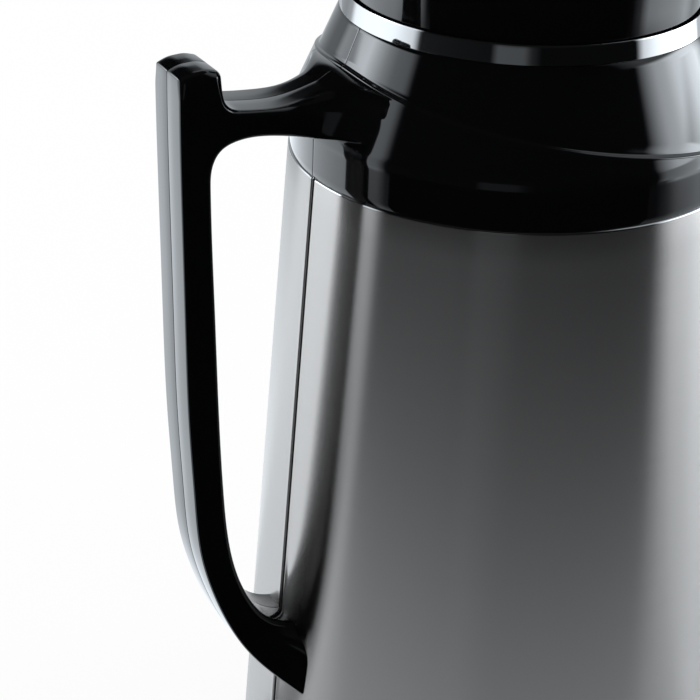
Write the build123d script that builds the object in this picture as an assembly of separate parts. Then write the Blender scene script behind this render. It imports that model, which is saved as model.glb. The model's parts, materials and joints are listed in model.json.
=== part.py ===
"""Thermal carafe with a screw-in stopper and a thumb-lifted flip cover.

Frame: millimetres, +Z up.  The origin is on the axis of the jug, in the plane it stands on.
The handle is on the -X side and the pouring beak on the +X side.
"""
from build123d import *
import math
import os

# ---------------------------------------------------------------- driving dimensions (mm)
# steel shell: a plain cone rolled from sheet, with a seam behind the handle
shell_top_z = 222.0
shell_top_radius = 70.0
shell_foot_z = 5.0
shell_foot_radius = 81.76
shell_wall = 0.8
seam_width = 1.2
seam_depth = 0.4
seam_offset = 1.2
seam_fold_width = 8.0
seam_fold_thickness = 1.4
seam_fold_stop = 2.0

# base: plastic ring, rubber foot and the screwed plug that carries the glass
base_top_z = 14.0
base_under_z = 1.6
base_floor = 2.6
base_lip_wall = 1.8
base_foot_chamfer = 1.2
foot_height = 3.2
foot_radius = 72.0
foot_width = 6.0
foot_chamfer = 0.8
plug_hole_radius = 44.0
base_plug_height = 13.0
base_plug_wall = 2.4
base_plug_flange = 4.0
base_plug_flange_thickness = 1.2
base_plug_floor = 3.8
base_plug_rib = 0.9
base_plug_rib_height = 1.2
base_plug_rib_pitch = 3.0
base_plug_rib_count = 3
coin_slot_length = 26.0
coin_slot_width = 3.0
coin_slot_depth = 1.6
cushion_rest_radius = 32.0
cushion_rest_height = 1.2

# shoulder moulding: skirt, raised saddle on the handle side and conical neck
skirt_height = 13.5
skirt_setback = 0.4
skirt_bevel = 1.0
shoulder_wall = 2.6
spigot_depth = 8.0
neck_rise = 44.2
neck_top_radius = 55.3
neck_foot_inset = 1.25
saddle_proud = 1.1
saddle_below_neck = 10.6
saddle_angle = 13.7
flange_below_neck = 4.9
flange_thickness = 2.5
flange_bore_radius = 31.0

# chrome ring round the mouth
ring_height = 5.6
ring_wall = 1.3
ring_crown = 0.2
ring_low_edge = 0.6
ring_top_edge = 0.7
ring_seat_height = 2.1

# handle: one strap that leaves the shoulder as an arm and comes back to the shell
handle_width = 19.7
grip_out = 46.4
grip_thickness = 9.8
grip_setback = 1.0
grip_lean = 4.3
stub_below_neck = 4.2
arm_below_neck = 16.8
arm_thickness = 8.8
arm_flare_out = 12.4
arm_flare_radius = 16.0
arm_flare_angle = 75.0
foot_flare_out = 16.3
foot_flare_radius = 25.0
foot_flare_angle = 62.0
foot_wing_fall = 0.75
straight_below_neck = 66.2
bend_start_z = 125.0
tip_z = 49.5
heel_z = 72.0
# points through which the curved edges of the strap's side view pass: for the arm, reach beyond
# the skirt and height above its top or underside; for the bend, reach beyond the shell and height
arm_top_points = [(27.1, 0.2), (15.4, -0.1), (4.8, 1.4)]
arm_under_points = [(9.4, -2.2), (20.4, 0.0), (28.9, -0.6), (34.8, -4.4)]
bend_inner_points = [(20.1, 94.5), (8.6, 76.2)]
bend_outer_points = [(11.2, 60.5), (28.4, 90.0)]
arm_under_drop = 11.0
stub_edge = 1.2
stub_drop_points = [(2.6, -5.0), (4.6, -10.0)]
root_depth = 4.3

# handle fixing
screw_z = 63.0
screw_radius = 1.9
screw_length = 11.0
screw_head_radius = 4.0
screw_head_height = 2.4
screw_clearance = 0.4
screw_bore_depth = 0.5
anchor_width = 22.0
anchor_height = 26.0
anchor_thickness = 1.6

# glass refill
glass_wall = 1.6
glass_outer_radius = 63.0
glass_vacuum_gap = 3.4
glass_bottom_z = 30.0
glass_bottom_roundness = 0.8
glass_shoulder_drop = 56.0
glass_mouth_radius = 31.6
glass_lip_width = 6.6
glass_neck_length = 12.0
glass_nib_length = 7.0
glass_nib_radius = 4.0
glass_inner_drop = 4.0
spacer_radius = 6.0
spacer_count = 3
mouth_gasket_thickness = 2.8
cushion_wall = 3.0
cushion_rim_width = 9.0
cushion_height = 38.0
cushion_chamfer = 8.0
cushion_hole_radius = 8.0

# neck collar with the threads for the stopper
collar_bore_radius = 35.6
collar_wall = 3.0
collar_flange = 2.5
collar_rise = 9.7
thread_lead = 24.0
thread_starts = 3
thread_angle = 50.0
thread_thickness = 2.4
thread_depth = 2.0
thread_bite = 0.5
small_screw_radius = 1.2
small_head_radius = 2.6
small_head_height = 1.5
screw_angle = 60.0

# stopper
plug_radius = 32.0
plug_wall = 2.2
seal_ring_height = 2.6
seal_ring_width = 4.2
plug_cap_radius = 30.4
plug_cap_height = 16.0
pour_tube_radius = 8.5
pour_tube_place = 14.5
vent_tube_radius = 2.6
vent_tube_place = -19.0
tube_wall = 1.5
tube_rise = 0.8
plug_flange_width = 8.0
plug_flange_thickness = 2.5
plug_step = 2.0
boss_depth = 3.0
plug_screw_count = 3
plug_screw_inset = 4.5
plug_screw_boss = 3.2
plug_screw_boss_depth = 5.0

# lid housing and flip cover
lid_inset = 2.1
lid_wall = 2.2
lid_rise = 30.8
deck_depth = 4.0
deck_thickness = 2.2
ledge_width = 1.7
ledge_height = 1.6
beak_reach = 7.5
beak_height = 10.0
beak_width = 26.0
beak_lip_half = 3.5
beak_lip_depth = 2.5
beak_nose = 4.0
beak_root = 6.0
beak_wall = 2.2
cover_nose_inset = 0.6
cover_nose_height = 3.2
cover_edge_height = 4.5
cover_dome_height = 8.5
cover_wall = 2.0
liner_rise = 0.6
liner_thickness = 1.8
pour_stem_radius = 3.2
vent_stem_radius = 1.7
stem_squeeze = 0.2
seal_overlap = 0.4
seal_head = 1.2
hinge_reach = 3.8
hinge_rise = 2.2
hinge_pin_radius = 1.5
knuckle_radius = 3.4
knuckle_length = 3.2
ear_length = 3.0
ear_drop = 11.0
spring_bay = 10.6
spring_wire = 0.9
spring_turns = 5
spring_slack = 0.3
spring_leg = 8.0
tab_length = 14.0
tab_width = 22.0
tab_thickness = 3.2
tab_angle = 20.0
tab_corner = 3.0
tab_start = 4.4

# clearances
seat_gap = 0.3
slide_gap = 0.2
pin_gap = 0.08
hole_gap = 0.1
# overlap by which two shapes are joined, and how far cutting shapes pass the material
weld = 0.1
over = 5.0

# ---------------------------------------------------------------- sizes that follow
shell_slope = (shell_foot_radius - shell_top_radius) / (shell_top_z - shell_foot_z)
skirt_radius = shell_top_radius - skirt_setback
skirt_top_z = shell_top_z + skirt_height
neck_top_z = shell_top_z + neck_rise
saddle_peak_z = neck_top_z - saddle_below_neck
flange_top_z = neck_top_z - flange_below_neck
collar_top_z = flange_top_z + collar_rise
stub_top_z = neck_top_z - stub_below_neck
arm_top_z = neck_top_z - arm_below_neck
straight_z = neck_top_z - straight_below_neck
lid_rim_z = neck_top_z + lid_rise
neck_slope = (skirt_radius - neck_foot_inset - neck_top_radius) / (neck_top_z - skirt_top_z)
handle_half = handle_width / 2
grip_reach = skirt_radius + grip_out
grip_inner_reach = grip_reach - grip_thickness
root_reach = neck_top_radius - root_depth
arm_under_z = arm_top_z - arm_thickness
flange_under_z = flange_top_z - flange_thickness
glass_lip_z = flange_under_z - mouth_gasket_thickness
glass_shoulder_z = glass_lip_z - glass_shoulder_drop
ring_seat_radius = neck_top_radius - ring_wall - slide_gap
shoulder_mouth_radius = ring_seat_radius - shoulder_wall
collar_screw_circle = (collar_bore_radius + collar_wall + shoulder_mouth_radius - slide_gap) / 2
lid_radius = neck_top_radius - lid_inset
plug_floor_z = base_under_z + base_plug_floor
plug_foot_z = flange_top_z + seal_ring_height + 2 * seat_gap
lid_foot_z = neck_top_z + ring_seat_height + seat_gap
deck_top_z = lid_rim_z - deck_depth
hinge_x = -(lid_radius + hinge_reach)
hinge_z = lid_rim_z + hinge_rise


def shell_radius(z):
    """Outer radius of the steel cone at height z."""
    return shell_top_radius + shell_slope * (shell_top_z - z)


def neck_radius(z):
    """Outer radius of the conical neck at height z."""
    return neck_top_radius + neck_slope * (neck_top_z - z)


# ---------------------------------------------------------------- helpers
def lathe(*outline):
    """Turn an outline of (radius, height) points into a solid of revolution."""
    wire = Polyline(*[(r, 0, z) for r, z in outline], close=True)
    return revolve(make_face(wire), Axis.Z)


def tube(outer, inner, low, high):
    """A plain ring between two radii and two heights."""
    return lathe((inner, low), (outer, low), (outer, high), (inner, high))


def rod(radius, low, high, x=0.0, y=0.0):
    """A vertical round bar."""
    return Pos(x, y, (low + high) / 2) * Cylinder(radius, high - low)


def side_slab(edges, half_width):
    """Extrude a closed side view, drawn in X and Z, to both sides of the XZ plane."""
    view = Plane(origin=(0, half_width, 0), x_dir=(1, 0, 0), z_dir=(0, -1, 0))
    return extrude(view * make_face(edges), 2 * half_width)


def around(solid, count, start=0.0):
    """Copies of a solid spaced evenly round the axis."""
    return [Rot(0, 0, start + 360.0 / count * i) * solid for i in range(count)]


def cross_screw(radius, length, head_radius, head_height):
    """A pan-head screw along +Z, with the underside of its head at the origin."""
    slot = Box(1.2 * head_radius, head_radius / 3, head_height)
    recess = Pos(0, 0, head_height) * (slot + Rot(0, 0, 90) * slot)
    head = Pos(0, 0, head_height / 2) * Cylinder(head_radius, head_height)
    shank = Pos(0, 0, -length / 2) * Cylinder(radius, length)
    return head + shank - recess


# ---------------------------------------------------------------- body of the jug
def outer_shell():
    wall = lathe(
        (shell_foot_radius - shell_wall, shell_foot_z),
        (shell_foot_radius, shell_foot_z),
        (shell_top_radius, shell_top_z),
        (shell_top_radius - shell_wall, shell_top_z),
    )
    low = base_top_z + seat_gap
    high = shell_top_z - spigot_depth - seam_fold_stop
    fold = shell_band(shell_wall + seam_fold_thickness, shell_wall - weld, low, high)
    groove = shell_band(seam_depth, -over, shell_foot_z - over, shell_top_z + over)
    hole = Pos(-shell_radius(screw_z), 0, screw_z) * Rot(0, 90, 0)
    hole = hole * Cylinder(screw_radius + screw_clearance, over)
    return wall + (fold & seam_strip(seam_fold_width)) - (groove & seam_strip(seam_width)) - hole


def shell_band(deep, shallow, low, high):
    """A cone parallel to the shell between two depths below its outer face."""
    return lathe(
        (shell_radius(low) - deep, low),
        (shell_radius(low) - shallow, low),
        (shell_radius(high) - shallow, high),
        (shell_radius(high) - deep, high),
    )


def seam_strip(width):
    """A flat upright bar along the seam, wide enough to cut a strip from any ring on the jug."""
    reach = shell_foot_radius + 2 * over
    return Pos(-reach / 2, -seam_offset, shell_top_z / 2) * Box(reach, width, shell_top_z + 4 * over)


def shoulder_hollow():
    """The space inside the shoulder, below its inner flange."""
    spigot_inner = shell_top_radius - shell_wall - slide_gap - shoulder_wall
    return lathe(
        (0, 0),
        (spigot_inner, 0),
        (spigot_inner, shell_top_z),
        (neck_radius(skirt_top_z) - shoulder_wall, skirt_top_z),
        (neck_radius(flange_under_z) - shoulder_wall, flange_under_z),
        (0, flange_under_z),
    )


def shoulder_shell():
    """Skirt, conical neck, inner flange and the seat of the trim ring."""
    spigot = shell_top_radius - shell_wall - slide_gap
    seat_top = neck_top_z + ring_seat_height
    return lathe(
        (0, shell_top_z - spigot_depth),
        (spigot, shell_top_z - spigot_depth),
        (spigot, shell_top_z),
        (skirt_radius, shell_top_z),
        (skirt_radius, skirt_top_z - skirt_bevel),
        (neck_radius(skirt_top_z), skirt_top_z),
        (neck_top_radius, neck_top_z),
        (ring_seat_radius, neck_top_z),
        (ring_seat_radius, seat_top),
        (shoulder_mouth_radius, seat_top),
        (shoulder_mouth_radius, flange_top_z),
        (0, flange_top_z),
    )


def saddle():
    """The collar that climbs towards the handle, a little proud of the neck, cut off on a slant."""
    peak_radius = neck_radius(saddle_peak_z) + saddle_proud
    slope = (skirt_radius - peak_radius) / (saddle_peak_z - skirt_top_z)
    top = saddle_peak_z + over
    cone = lathe(
        (0, skirt_top_z - skirt_bevel),
        (skirt_radius, skirt_top_z - skirt_bevel),
        (skirt_radius, skirt_top_z),
        (peak_radius - slope * (top - saddle_peak_z), top),
        (0, top),
    )
    side = 3 * skirt_radius
    cutter = Rot(0, saddle_angle, 0) * Pos(side / 4, 0, side / 4) * Box(side, side, side / 2)
    return cone - Pos(-peak_radius, 0, saddle_peak_z) * cutter


def beside_skirt(points, height):
    """Points given as (reach beyond the skirt, rise above a height), on the handle's side."""
    return [(-skirt_radius - reach, height + rise) for reach, rise in points]


def beside_shell(points):
    """Points given as (reach beyond the shell at that height, height), on the handle's side."""
    return [(-shell_radius(z) - reach, z) for reach, z in points]


def stub_edges():
    """Top of the strap from its outer face down to the arm and in to the saddle."""
    corner = (-grip_inner_reach + stub_edge, stub_top_z - stub_edge / 2)
    drop = [(-grip_inner_reach + x, stub_top_z + z) for x, z in stub_drop_points]
    saddle_end = (-neck_radius(saddle_peak_z) - saddle_proud, saddle_peak_z - seat_gap)
    top = Polyline(
        (-grip_reach, stub_top_z - stub_edge),
        (-grip_reach + 2 * stub_edge, stub_top_z),
        corner,
    )
    fall = Spline(corner, *drop, *beside_skirt(arm_top_points, arm_top_z), saddle_end)
    return [top, fall, Line(saddle_end, (-root_reach, saddle_peak_z - seat_gap))]


def arm_edges():
    """Root inside the shoulder, underside of the arm and the straight inner face of the grip."""
    low = (-root_reach, skirt_top_z - 2 * skirt_bevel)
    crook = (-skirt_radius + shoulder_wall, skirt_top_z - skirt_bevel)
    bend_end = (-grip_inner_reach - slide_gap, arm_under_z - arm_under_drop)
    under = beside_skirt(arm_under_points, arm_under_z)
    return [
        Line((-root_reach, saddle_peak_z - seat_gap), low),
        Line(low, crook),
        Spline(crook, *under, bend_end, tangents=[(-1, 0.3), (0, -1)]),
        Line(bend_end, (-grip_inner_reach + grip_setback, straight_z)),
    ]


def sweep_edges():
    """Both faces of the grip as they bend back to the shell, and the straight outer face."""
    heel = (-shell_radius(heel_z) + over, heel_z)
    toe = (-shell_radius(tip_z) + 2 * over, tip_z - over)
    inner_bend = (-grip_inner_reach + grip_lean, bend_start_z)
    outer_bend = (-grip_reach + grip_lean, bend_start_z)
    inner_start = (-grip_inner_reach + grip_setback, straight_z)
    inner_points = [inner_start, inner_bend, *beside_shell(bend_inner_points), heel]
    outer_end = (-grip_reach + grip_setback, straight_z)
    return [
        Spline(*inner_points, tangents=[(0, -1), (1, -0.1)]),
        Line(heel, toe),
        Spline(toe, *beside_shell(bend_outer_points), outer_bend, outer_end, tangents=[(-1, 0.62), (0, 1)]),
        Line(outer_end, (-grip_reach, stub_top_z - stub_edge)),
    ]


def flare(start, radius, turn, low, high):
    """Between two heights, sides that leave the strap's own and curve outwards towards the jug."""
    def point(angle):
        bend = math.radians(angle)
        return start - radius * math.sin(bend), handle_half + radius * (1 - math.cos(bend))

    end_r, end_half = point(turn)
    mid_r, mid_half = point(turn / 2)
    near = neck_top_radius
    edges = [
        Line((-start, handle_half), (-start, -handle_half)),
        ThreePointArc((-start, -handle_half), (-mid_r, -mid_half), (-end_r, -end_half)),
        Polyline((-end_r, -end_half), (-near, -end_half), (-near, end_half), (-end_r, end_half)),
        ThreePointArc((-end_r, end_half), (-mid_r, mid_half), (-start, handle_half)),
    ]
    return Pos(0, 0, low) * extrude(make_face(edges), high - low)


def foot_roof():
    """Space under two slopes that fall from the strap's sides at the heel."""
    reach = 3 * handle_half
    ridge = heel_z + foot_wing_fall * handle_half
    eaves = ridge - foot_wing_fall * reach
    outline = Polyline((-reach, 0), (reach, 0), (reach, eaves), (0, ridge), (-reach, eaves), close=True)
    end = Plane(origin=(-grip_reach, 0, 0), x_dir=(0, 1, 0), z_dir=(1, 0, 0))
    return extrude(end * make_face(outline), grip_reach)


def handle():
    """The strap with its two flared ends, still running into the jug."""
    side = stub_edges() + arm_edges() + sweep_edges()
    half_z = (heel_z + arm_top_z) / 2
    wide = side_slab(side, 3 * handle_half)
    arm_start = skirt_radius + arm_flare_out
    arm_flare = flare(arm_start, arm_flare_radius, arm_flare_angle, half_z, stub_top_z + over)
    foot_start = shell_radius(heel_z) + foot_flare_out
    foot_flare = flare(foot_start, foot_flare_radius, foot_flare_angle, shell_foot_z, half_z)
    foot = wide & foot_flare & foot_roof()
    return side_slab(side, handle_half) + (wide & arm_flare) + foot


def shoulder():
    """One moulding: shoulder, neck, arm, grip and the foot that lands on the shell."""
    clear_cone = lathe(
        (0, 0),
        (shell_radius(0) + slide_gap, 0),
        (shell_radius(shell_top_z) + slide_gap, shell_top_z),
        (skirt_radius - skirt_bevel, shell_top_z),
        (skirt_radius - skirt_bevel, skirt_top_z),
        (0, skirt_top_z),
    )
    solid = shoulder_shell() + saddle() + (handle() - clear_cone)
    pilot = Pos(screw_seat_x() - screw_length / 2, 0, screw_z) * Rot(0, 90, 0)
    solid -= pilot * Cylinder(screw_radius + hole_gap, screw_length + 2 * screw_bore_depth)
    solid -= shoulder_hollow()
    solid -= rod(flange_bore_radius, flange_under_z - over, neck_top_z + over)
    solid -= rod(shoulder_mouth_radius, flange_top_z, neck_top_z + 2 * over)
    return solid - collar_screw_holes()


def collar_screw_holes():
    """Pilot holes for the three collar screws."""
    low = flange_under_z - weld
    hole = rod(small_screw_radius + hole_gap, low, flange_top_z + weld, collar_screw_circle)
    return Compound(around(hole, thread_starts, screw_angle))


def trim_ring():
    """Polished ring, crowned outside, that slips over the seat on top of the neck."""
    inner = neck_top_radius - ring_wall
    top = neck_top_z + ring_height
    return lathe(
        (inner, neck_top_z),
        (neck_top_radius, neck_top_z),
        (neck_top_radius + ring_crown, neck_top_z + ring_low_edge),
        (neck_top_radius + ring_crown / 2, top - 2 * ring_top_edge),
        (neck_top_radius - ring_top_edge / 2, top - ring_top_edge / 2),
        (neck_top_radius - ring_top_edge, top),
        (inner, top),
    )


def base_ring():
    """Plastic base: the shell stands on its rim, and its floor has the threaded hole for the plug."""
    upstand = shell_radius(base_top_z) - shell_wall - seat_gap
    floor_top = base_under_z + base_floor
    body = lathe(
        (plug_hole_radius, base_under_z),
        (shell_foot_radius - base_foot_chamfer, base_under_z),
        (shell_foot_radius, base_under_z + base_foot_chamfer),
        (shell_foot_radius, shell_foot_z),
        (upstand, shell_foot_z),
        (upstand, base_top_z),
        (upstand - base_lip_wall, base_top_z),
        (upstand - base_lip_wall, floor_top),
        (plug_hole_radius + base_plug_wall, floor_top),
        (plug_hole_radius + base_plug_wall, base_top_z),
        (plug_hole_radius, base_top_z),
    )
    foot_seat = tube(foot_radius + foot_width / 2, foot_radius - foot_width / 2, 0, foot_height)
    recess_top = base_under_z + base_plug_flange_thickness
    recess = rod(plug_hole_radius + base_plug_flange + slide_gap, base_under_z - over, recess_top)
    return body - foot_seat - recess


def foot_ring():
    """Rubber ring pressed into the underside of the base."""
    outer = foot_radius + foot_width / 2 - slide_gap
    inner = foot_radius - foot_width / 2 + slide_gap
    return lathe(
        (inner + foot_chamfer, 0),
        (outer - foot_chamfer, 0),
        (outer, foot_chamfer),
        (outer, foot_height),
        (inner, foot_height),
        (inner, foot_chamfer),
    )


def base_plug():
    """Screwed closure under the glass, turned with a coin; unscrewed only to change the refill."""
    wall_radius = plug_hole_radius - slide_gap - base_plug_rib
    flange_top = base_under_z + base_plug_flange_thickness
    top = base_under_z + base_plug_height
    plug = lathe(
        (0, base_under_z),
        (plug_hole_radius + base_plug_flange, base_under_z),
        (plug_hole_radius + base_plug_flange, flange_top),
        (wall_radius, flange_top),
        (wall_radius, top),
        (wall_radius - base_plug_wall, top),
        (wall_radius - base_plug_wall, plug_floor_z),
        (0, plug_floor_z),
    )
    for turn in range(base_plug_rib_count):
        low = flange_top + base_plug_rib_pitch * (turn + 0.5)
        plug += tube(wall_radius + base_plug_rib, wall_radius - weld, low, low + base_plug_rib_height)
    plug += rod(cushion_rest_radius, plug_floor_z - weld, plug_floor_z + cushion_rest_height)
    return plug - Pos(0, 0, base_under_z) * Box(coin_slot_length, coin_slot_width, 2 * coin_slot_depth)


def anchor_back():
    """Distance of the anchor plate's inner face from the outside of the shell."""
    return shell_wall + slide_gap + seam_fold_thickness + anchor_thickness


def handle_anchor():
    """Plate inside the shell, bridging the seam fold, that spreads the pull of the handle screw."""
    low = screw_z - anchor_height / 2
    high = screw_z + anchor_height / 2
    out = shell_wall + slide_gap
    centre = Pos(-shell_radius(screw_z), 0, screw_z)
    window = centre * Box(4 * over, anchor_width, anchor_height)
    fold_room = shell_band(out + seam_fold_thickness, -over, low - over, high + over)
    hole = centre * Rot(0, 90, 0) * Cylinder(screw_radius + slide_gap, 4 * over)
    head_seat = Pos(screw_seat_x() + over, 0, screw_z) * Rot(0, 90, 0)
    head_seat = head_seat * Cylinder(screw_head_radius + screw_clearance, 2 * over)
    plate = shell_band(anchor_back(), out, low, high) & window
    return plate - (fold_room & seam_strip(seam_fold_width + 2 * seat_gap)) - hole - head_seat


def screw_seat_x():
    """Where the head of the handle screw bears on the anchor plate."""
    return -(shell_radius(screw_z) - anchor_back() + screw_bore_depth)


def handle_screw():
    screw = cross_screw(screw_radius, screw_length, screw_head_radius, screw_head_height)
    return Pos(screw_seat_x(), 0, screw_z) * Rot(0, 90, 0) * screw


# ---------------------------------------------------------------- glass refill and its seats
def flask(radius, neck, top_z, neck_z, shoulder_z, knee_z, bottom_z):
    """A solid bottle shape: straight neck, rounded shoulder, straight side and domed bottom."""
    knee = Spline((radius, knee_z), (0, bottom_z), tangents=[(0, -1), (-1, 0)])
    shoulder_line = Spline((neck, neck_z), (radius, shoulder_z), tangents=[(0, -1), (0, -1)])
    edges = [
        Line((0, bottom_z), (0, top_z)),
        Line((0, top_z), (neck, top_z)),
        Line((neck, top_z), (neck, neck_z)),
        shoulder_line,
        Line((radius, shoulder_z), (radius, knee_z)),
        knee,
    ]
    return revolve(Plane.XZ * make_face(edges), Axis.Z)


def glass_knee_z():
    """Where the straight side of the glass turns into its domed bottom."""
    return glass_bottom_z + glass_bottom_roundness * glass_outer_radius


def bottle(inset, top_z):
    """The refill's outer shape, moved inwards by a distance."""
    neck = glass_mouth_radius + glass_lip_width - inset
    neck_z = glass_lip_z - glass_neck_length
    side = glass_outer_radius - inset
    return flask(side, neck, top_z, neck_z, glass_shoulder_z, glass_knee_z(), glass_bottom_z + inset)


def refill_outer():
    joint_z = glass_lip_z - glass_wall
    nib = Pos(0, 0, glass_bottom_z - glass_nib_length / 2 + glass_wall / 2)
    nib = nib * Cone(glass_nib_radius * 0.4, glass_nib_radius, glass_nib_length)
    return bottle(0, joint_z) + nib - bottle(glass_wall, joint_z + over)


def refill_inner():
    joint_z = glass_lip_z - glass_wall
    inset = glass_wall + glass_vacuum_gap
    lip = tube(glass_mouth_radius + glass_lip_width, glass_mouth_radius, joint_z, glass_lip_z)
    neck_z = glass_lip_z - glass_neck_length
    outside = flask(
        glass_outer_radius - inset,
        glass_mouth_radius + glass_wall,
        glass_lip_z,
        neck_z,
        glass_shoulder_z - glass_inner_drop,
        glass_knee_z() + glass_inner_drop / 2,
        glass_bottom_z + inset,
    )
    inside = flask(
        glass_outer_radius - inset - glass_wall,
        glass_mouth_radius,
        glass_lip_z + over,
        neck_z,
        glass_shoulder_z - glass_inner_drop - glass_wall / 2,
        glass_knee_z() + glass_inner_drop / 2 + glass_wall / 2,
        glass_bottom_z + inset + glass_wall,
    )
    return outside + lip - inside


def refill_spacers():
    """Three ceramic-paper pads that keep the two glass walls apart."""
    inner = glass_outer_radius - glass_wall - glass_vacuum_gap + slide_gap
    outer = glass_outer_radius - glass_wall - slide_gap
    low = glass_knee_z() + glass_inner_drop
    high = low + 2 * spacer_radius
    punch = Pos(glass_outer_radius, 0, (low + high) / 2) * Rot(0, 90, 0) * Cylinder(spacer_radius, 4 * over)
    return Compound(around(tube(outer, inner, low, high) & punch, spacer_count))


def mouth_gasket():
    """Rubber ring between the lip of the glass and the shoulder's inner flange."""
    return tube(glass_mouth_radius + glass_lip_width, flange_bore_radius, glass_lip_z, flange_under_z)


def refill_cushion():
    """Rubber cup on the base plug that carries the glass and shields its nib."""
    floor_z = plug_floor_z + cushion_rest_height
    outer = plug_hole_radius - slide_gap - base_plug_rib - base_plug_wall - 2 * seat_gap
    wall = lathe(
        (cushion_hole_radius, floor_z),
        (outer - cushion_chamfer / 2, floor_z),
        (outer, floor_z + cushion_chamfer),
        (outer, floor_z + cushion_height),
        (outer - cushion_rim_width, floor_z + cushion_height),
        (outer - cushion_rim_width, floor_z + cushion_wall),
        (cushion_hole_radius, floor_z + cushion_wall),
    )
    return wall - bottle(-seat_gap, glass_lip_z)


# ---------------------------------------------------------------- threaded neck
def thread_ridge(inner, outer, low):
    """One start of the right-hand thread, a short ridge on a helix that begins on the +X side."""
    path = Helix(pitch=thread_lead, height=thread_lead * thread_angle / 360, radius=(inner + outer) / 2)
    start = Plane(origin=path @ 0, x_dir=(1, 0, 0), z_dir=path % 0)
    ridge = sweep(start * Rectangle(outer - inner, thread_thickness), path, is_frenet=True)
    return Pos(0, 0, low + thread_thickness / 2) * ridge


def thread_low():
    """Lowest point of the thread ridges."""
    return plug_foot_z + slide_gap


def neck_collar():
    """Insert screwed into the mouth of the shoulder, with three inner thread ridges."""
    flange_end = flange_top_z + collar_flange
    collar = tube(shoulder_mouth_radius - slide_gap, collar_bore_radius, flange_top_z, flange_end)
    collar += tube(collar_bore_radius + collar_wall, collar_bore_radius, flange_top_z, collar_top_z)
    ridge = thread_ridge(collar_bore_radius - thread_depth, collar_bore_radius + thread_bite, thread_low())
    for piece in around(ridge, thread_starts, 180.0 / thread_starts):
        collar += piece
    hole = rod(small_screw_radius + seat_gap, flange_top_z - weld, flange_end + weld, collar_screw_circle)
    for piece in around(hole, thread_starts, screw_angle):
        collar -= piece
    return collar


def collar_screws():
    length = collar_flange + flange_thickness
    screw = cross_screw(small_screw_radius, length, small_head_radius, small_head_height)
    placed = Pos(collar_screw_circle, 0, flange_top_z + collar_flange) * screw
    return Compound(around(placed, thread_starts, screw_angle))


# ---------------------------------------------------------------- stopper
def stopper_gasket():
    """Silicone ring under the threads; it seals on the shoulder's inner flange."""
    inner = plug_cap_radius - seal_ring_width / 3
    low = flange_top_z + seat_gap
    return tube(inner + seal_ring_width, inner, low, low + seal_ring_height)


def plug_boss_radius():
    """Outside of the plug's lower boss, inside the seal ring."""
    return plug_cap_radius - seal_ring_width / 3 - seat_gap


def plug_bottom_z():
    """Underside of the cap that closes the plug."""
    return flange_top_z - slide_gap - plug_cap_height


def plug_tubes(radius_added, low, high):
    """The pouring channel and the vent as solid bars."""
    pour = rod(pour_tube_radius + radius_added, low, high, pour_tube_place)
    vent = rod(vent_tube_radius + radius_added, low, high, vent_tube_place)
    return pour + vent


def plug_screw_bars(radius, low, high):
    """Three bars on the circle of the plug screws."""
    bar = rod(radius, low, high, plug_radius + plug_screw_inset)
    return around(bar, plug_screw_count, screw_angle)


def stopper_plug():
    """Threaded plug; its top flange hangs under the deck and lets the two tubes through."""
    deck_under_z = deck_top_z - deck_thickness
    flange_low = deck_under_z - plug_flange_thickness
    boss_inner = plug_boss_radius() - plug_wall
    plug = tube(plug_radius, plug_radius - plug_wall, plug_foot_z, deck_under_z)
    plug += tube(plug_radius, boss_inner, plug_foot_z, plug_foot_z + plug_step)
    plug += tube(plug_boss_radius(), boss_inner, flange_top_z - boss_depth, plug_foot_z + plug_step / 2)
    plug += rod(plug_radius + plug_flange_width, flange_low, deck_under_z)
    for bar in plug_screw_bars(plug_screw_boss, flange_low - plug_screw_boss_depth, flange_low):
        plug += bar
    ridge = thread_ridge(plug_radius - thread_bite, collar_bore_radius - thread_bite, thread_low())
    for piece in around(ridge, thread_starts):
        plug += piece
    plug -= plug_tubes(tube_wall + slide_gap, flange_low - over, deck_top_z)
    hole_low = flange_low - plug_screw_boss_depth / 2
    for bar in plug_screw_bars(small_screw_radius + hole_gap, hole_low, deck_top_z):
        plug -= bar
    return plug


def channel_tube(radius, place):
    """A tube from the floor of the cap to just above the deck."""
    low = plug_bottom_z() + plug_wall
    high = deck_top_z + tube_rise
    return rod(radius + tube_wall, low, high, place) - rod(radius, low - over, high + over, place)


def pour_tube():
    return channel_tube(pour_tube_radius, pour_tube_place)


def vent_tube():
    return channel_tube(vent_tube_radius, vent_tube_place)


def plug_cap():
    """Cup that closes the bottom of the plug; its rim traps the seal ring."""
    low = plug_bottom_z()
    high = flange_top_z - slide_gap
    inner = plug_boss_radius() + slide_gap
    cup = rod(plug_cap_radius, low, high) - rod(inner, low + plug_wall, high + over)
    return cup - plug_tubes(0, low - over, high)


def plug_insulation():
    """Foam inside the plug, round the two channels."""
    low = plug_bottom_z() + plug_wall + seat_gap
    high = deck_top_z - deck_thickness - plug_flange_thickness - seat_gap
    radius = plug_boss_radius() - plug_wall - seat_gap
    return rod(radius, low, high) - plug_tubes(tube_wall + slide_gap, low - over, high + over)


def plug_screws():
    length = deck_thickness + plug_flange_thickness + plug_screw_boss_depth / 2
    screw = cross_screw(small_screw_radius, length, small_head_radius, small_head_height)
    placed = Pos(plug_radius + plug_screw_inset, 0, deck_top_z) * screw
    return Compound(around(placed, plug_screw_count, screw_angle))


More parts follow.
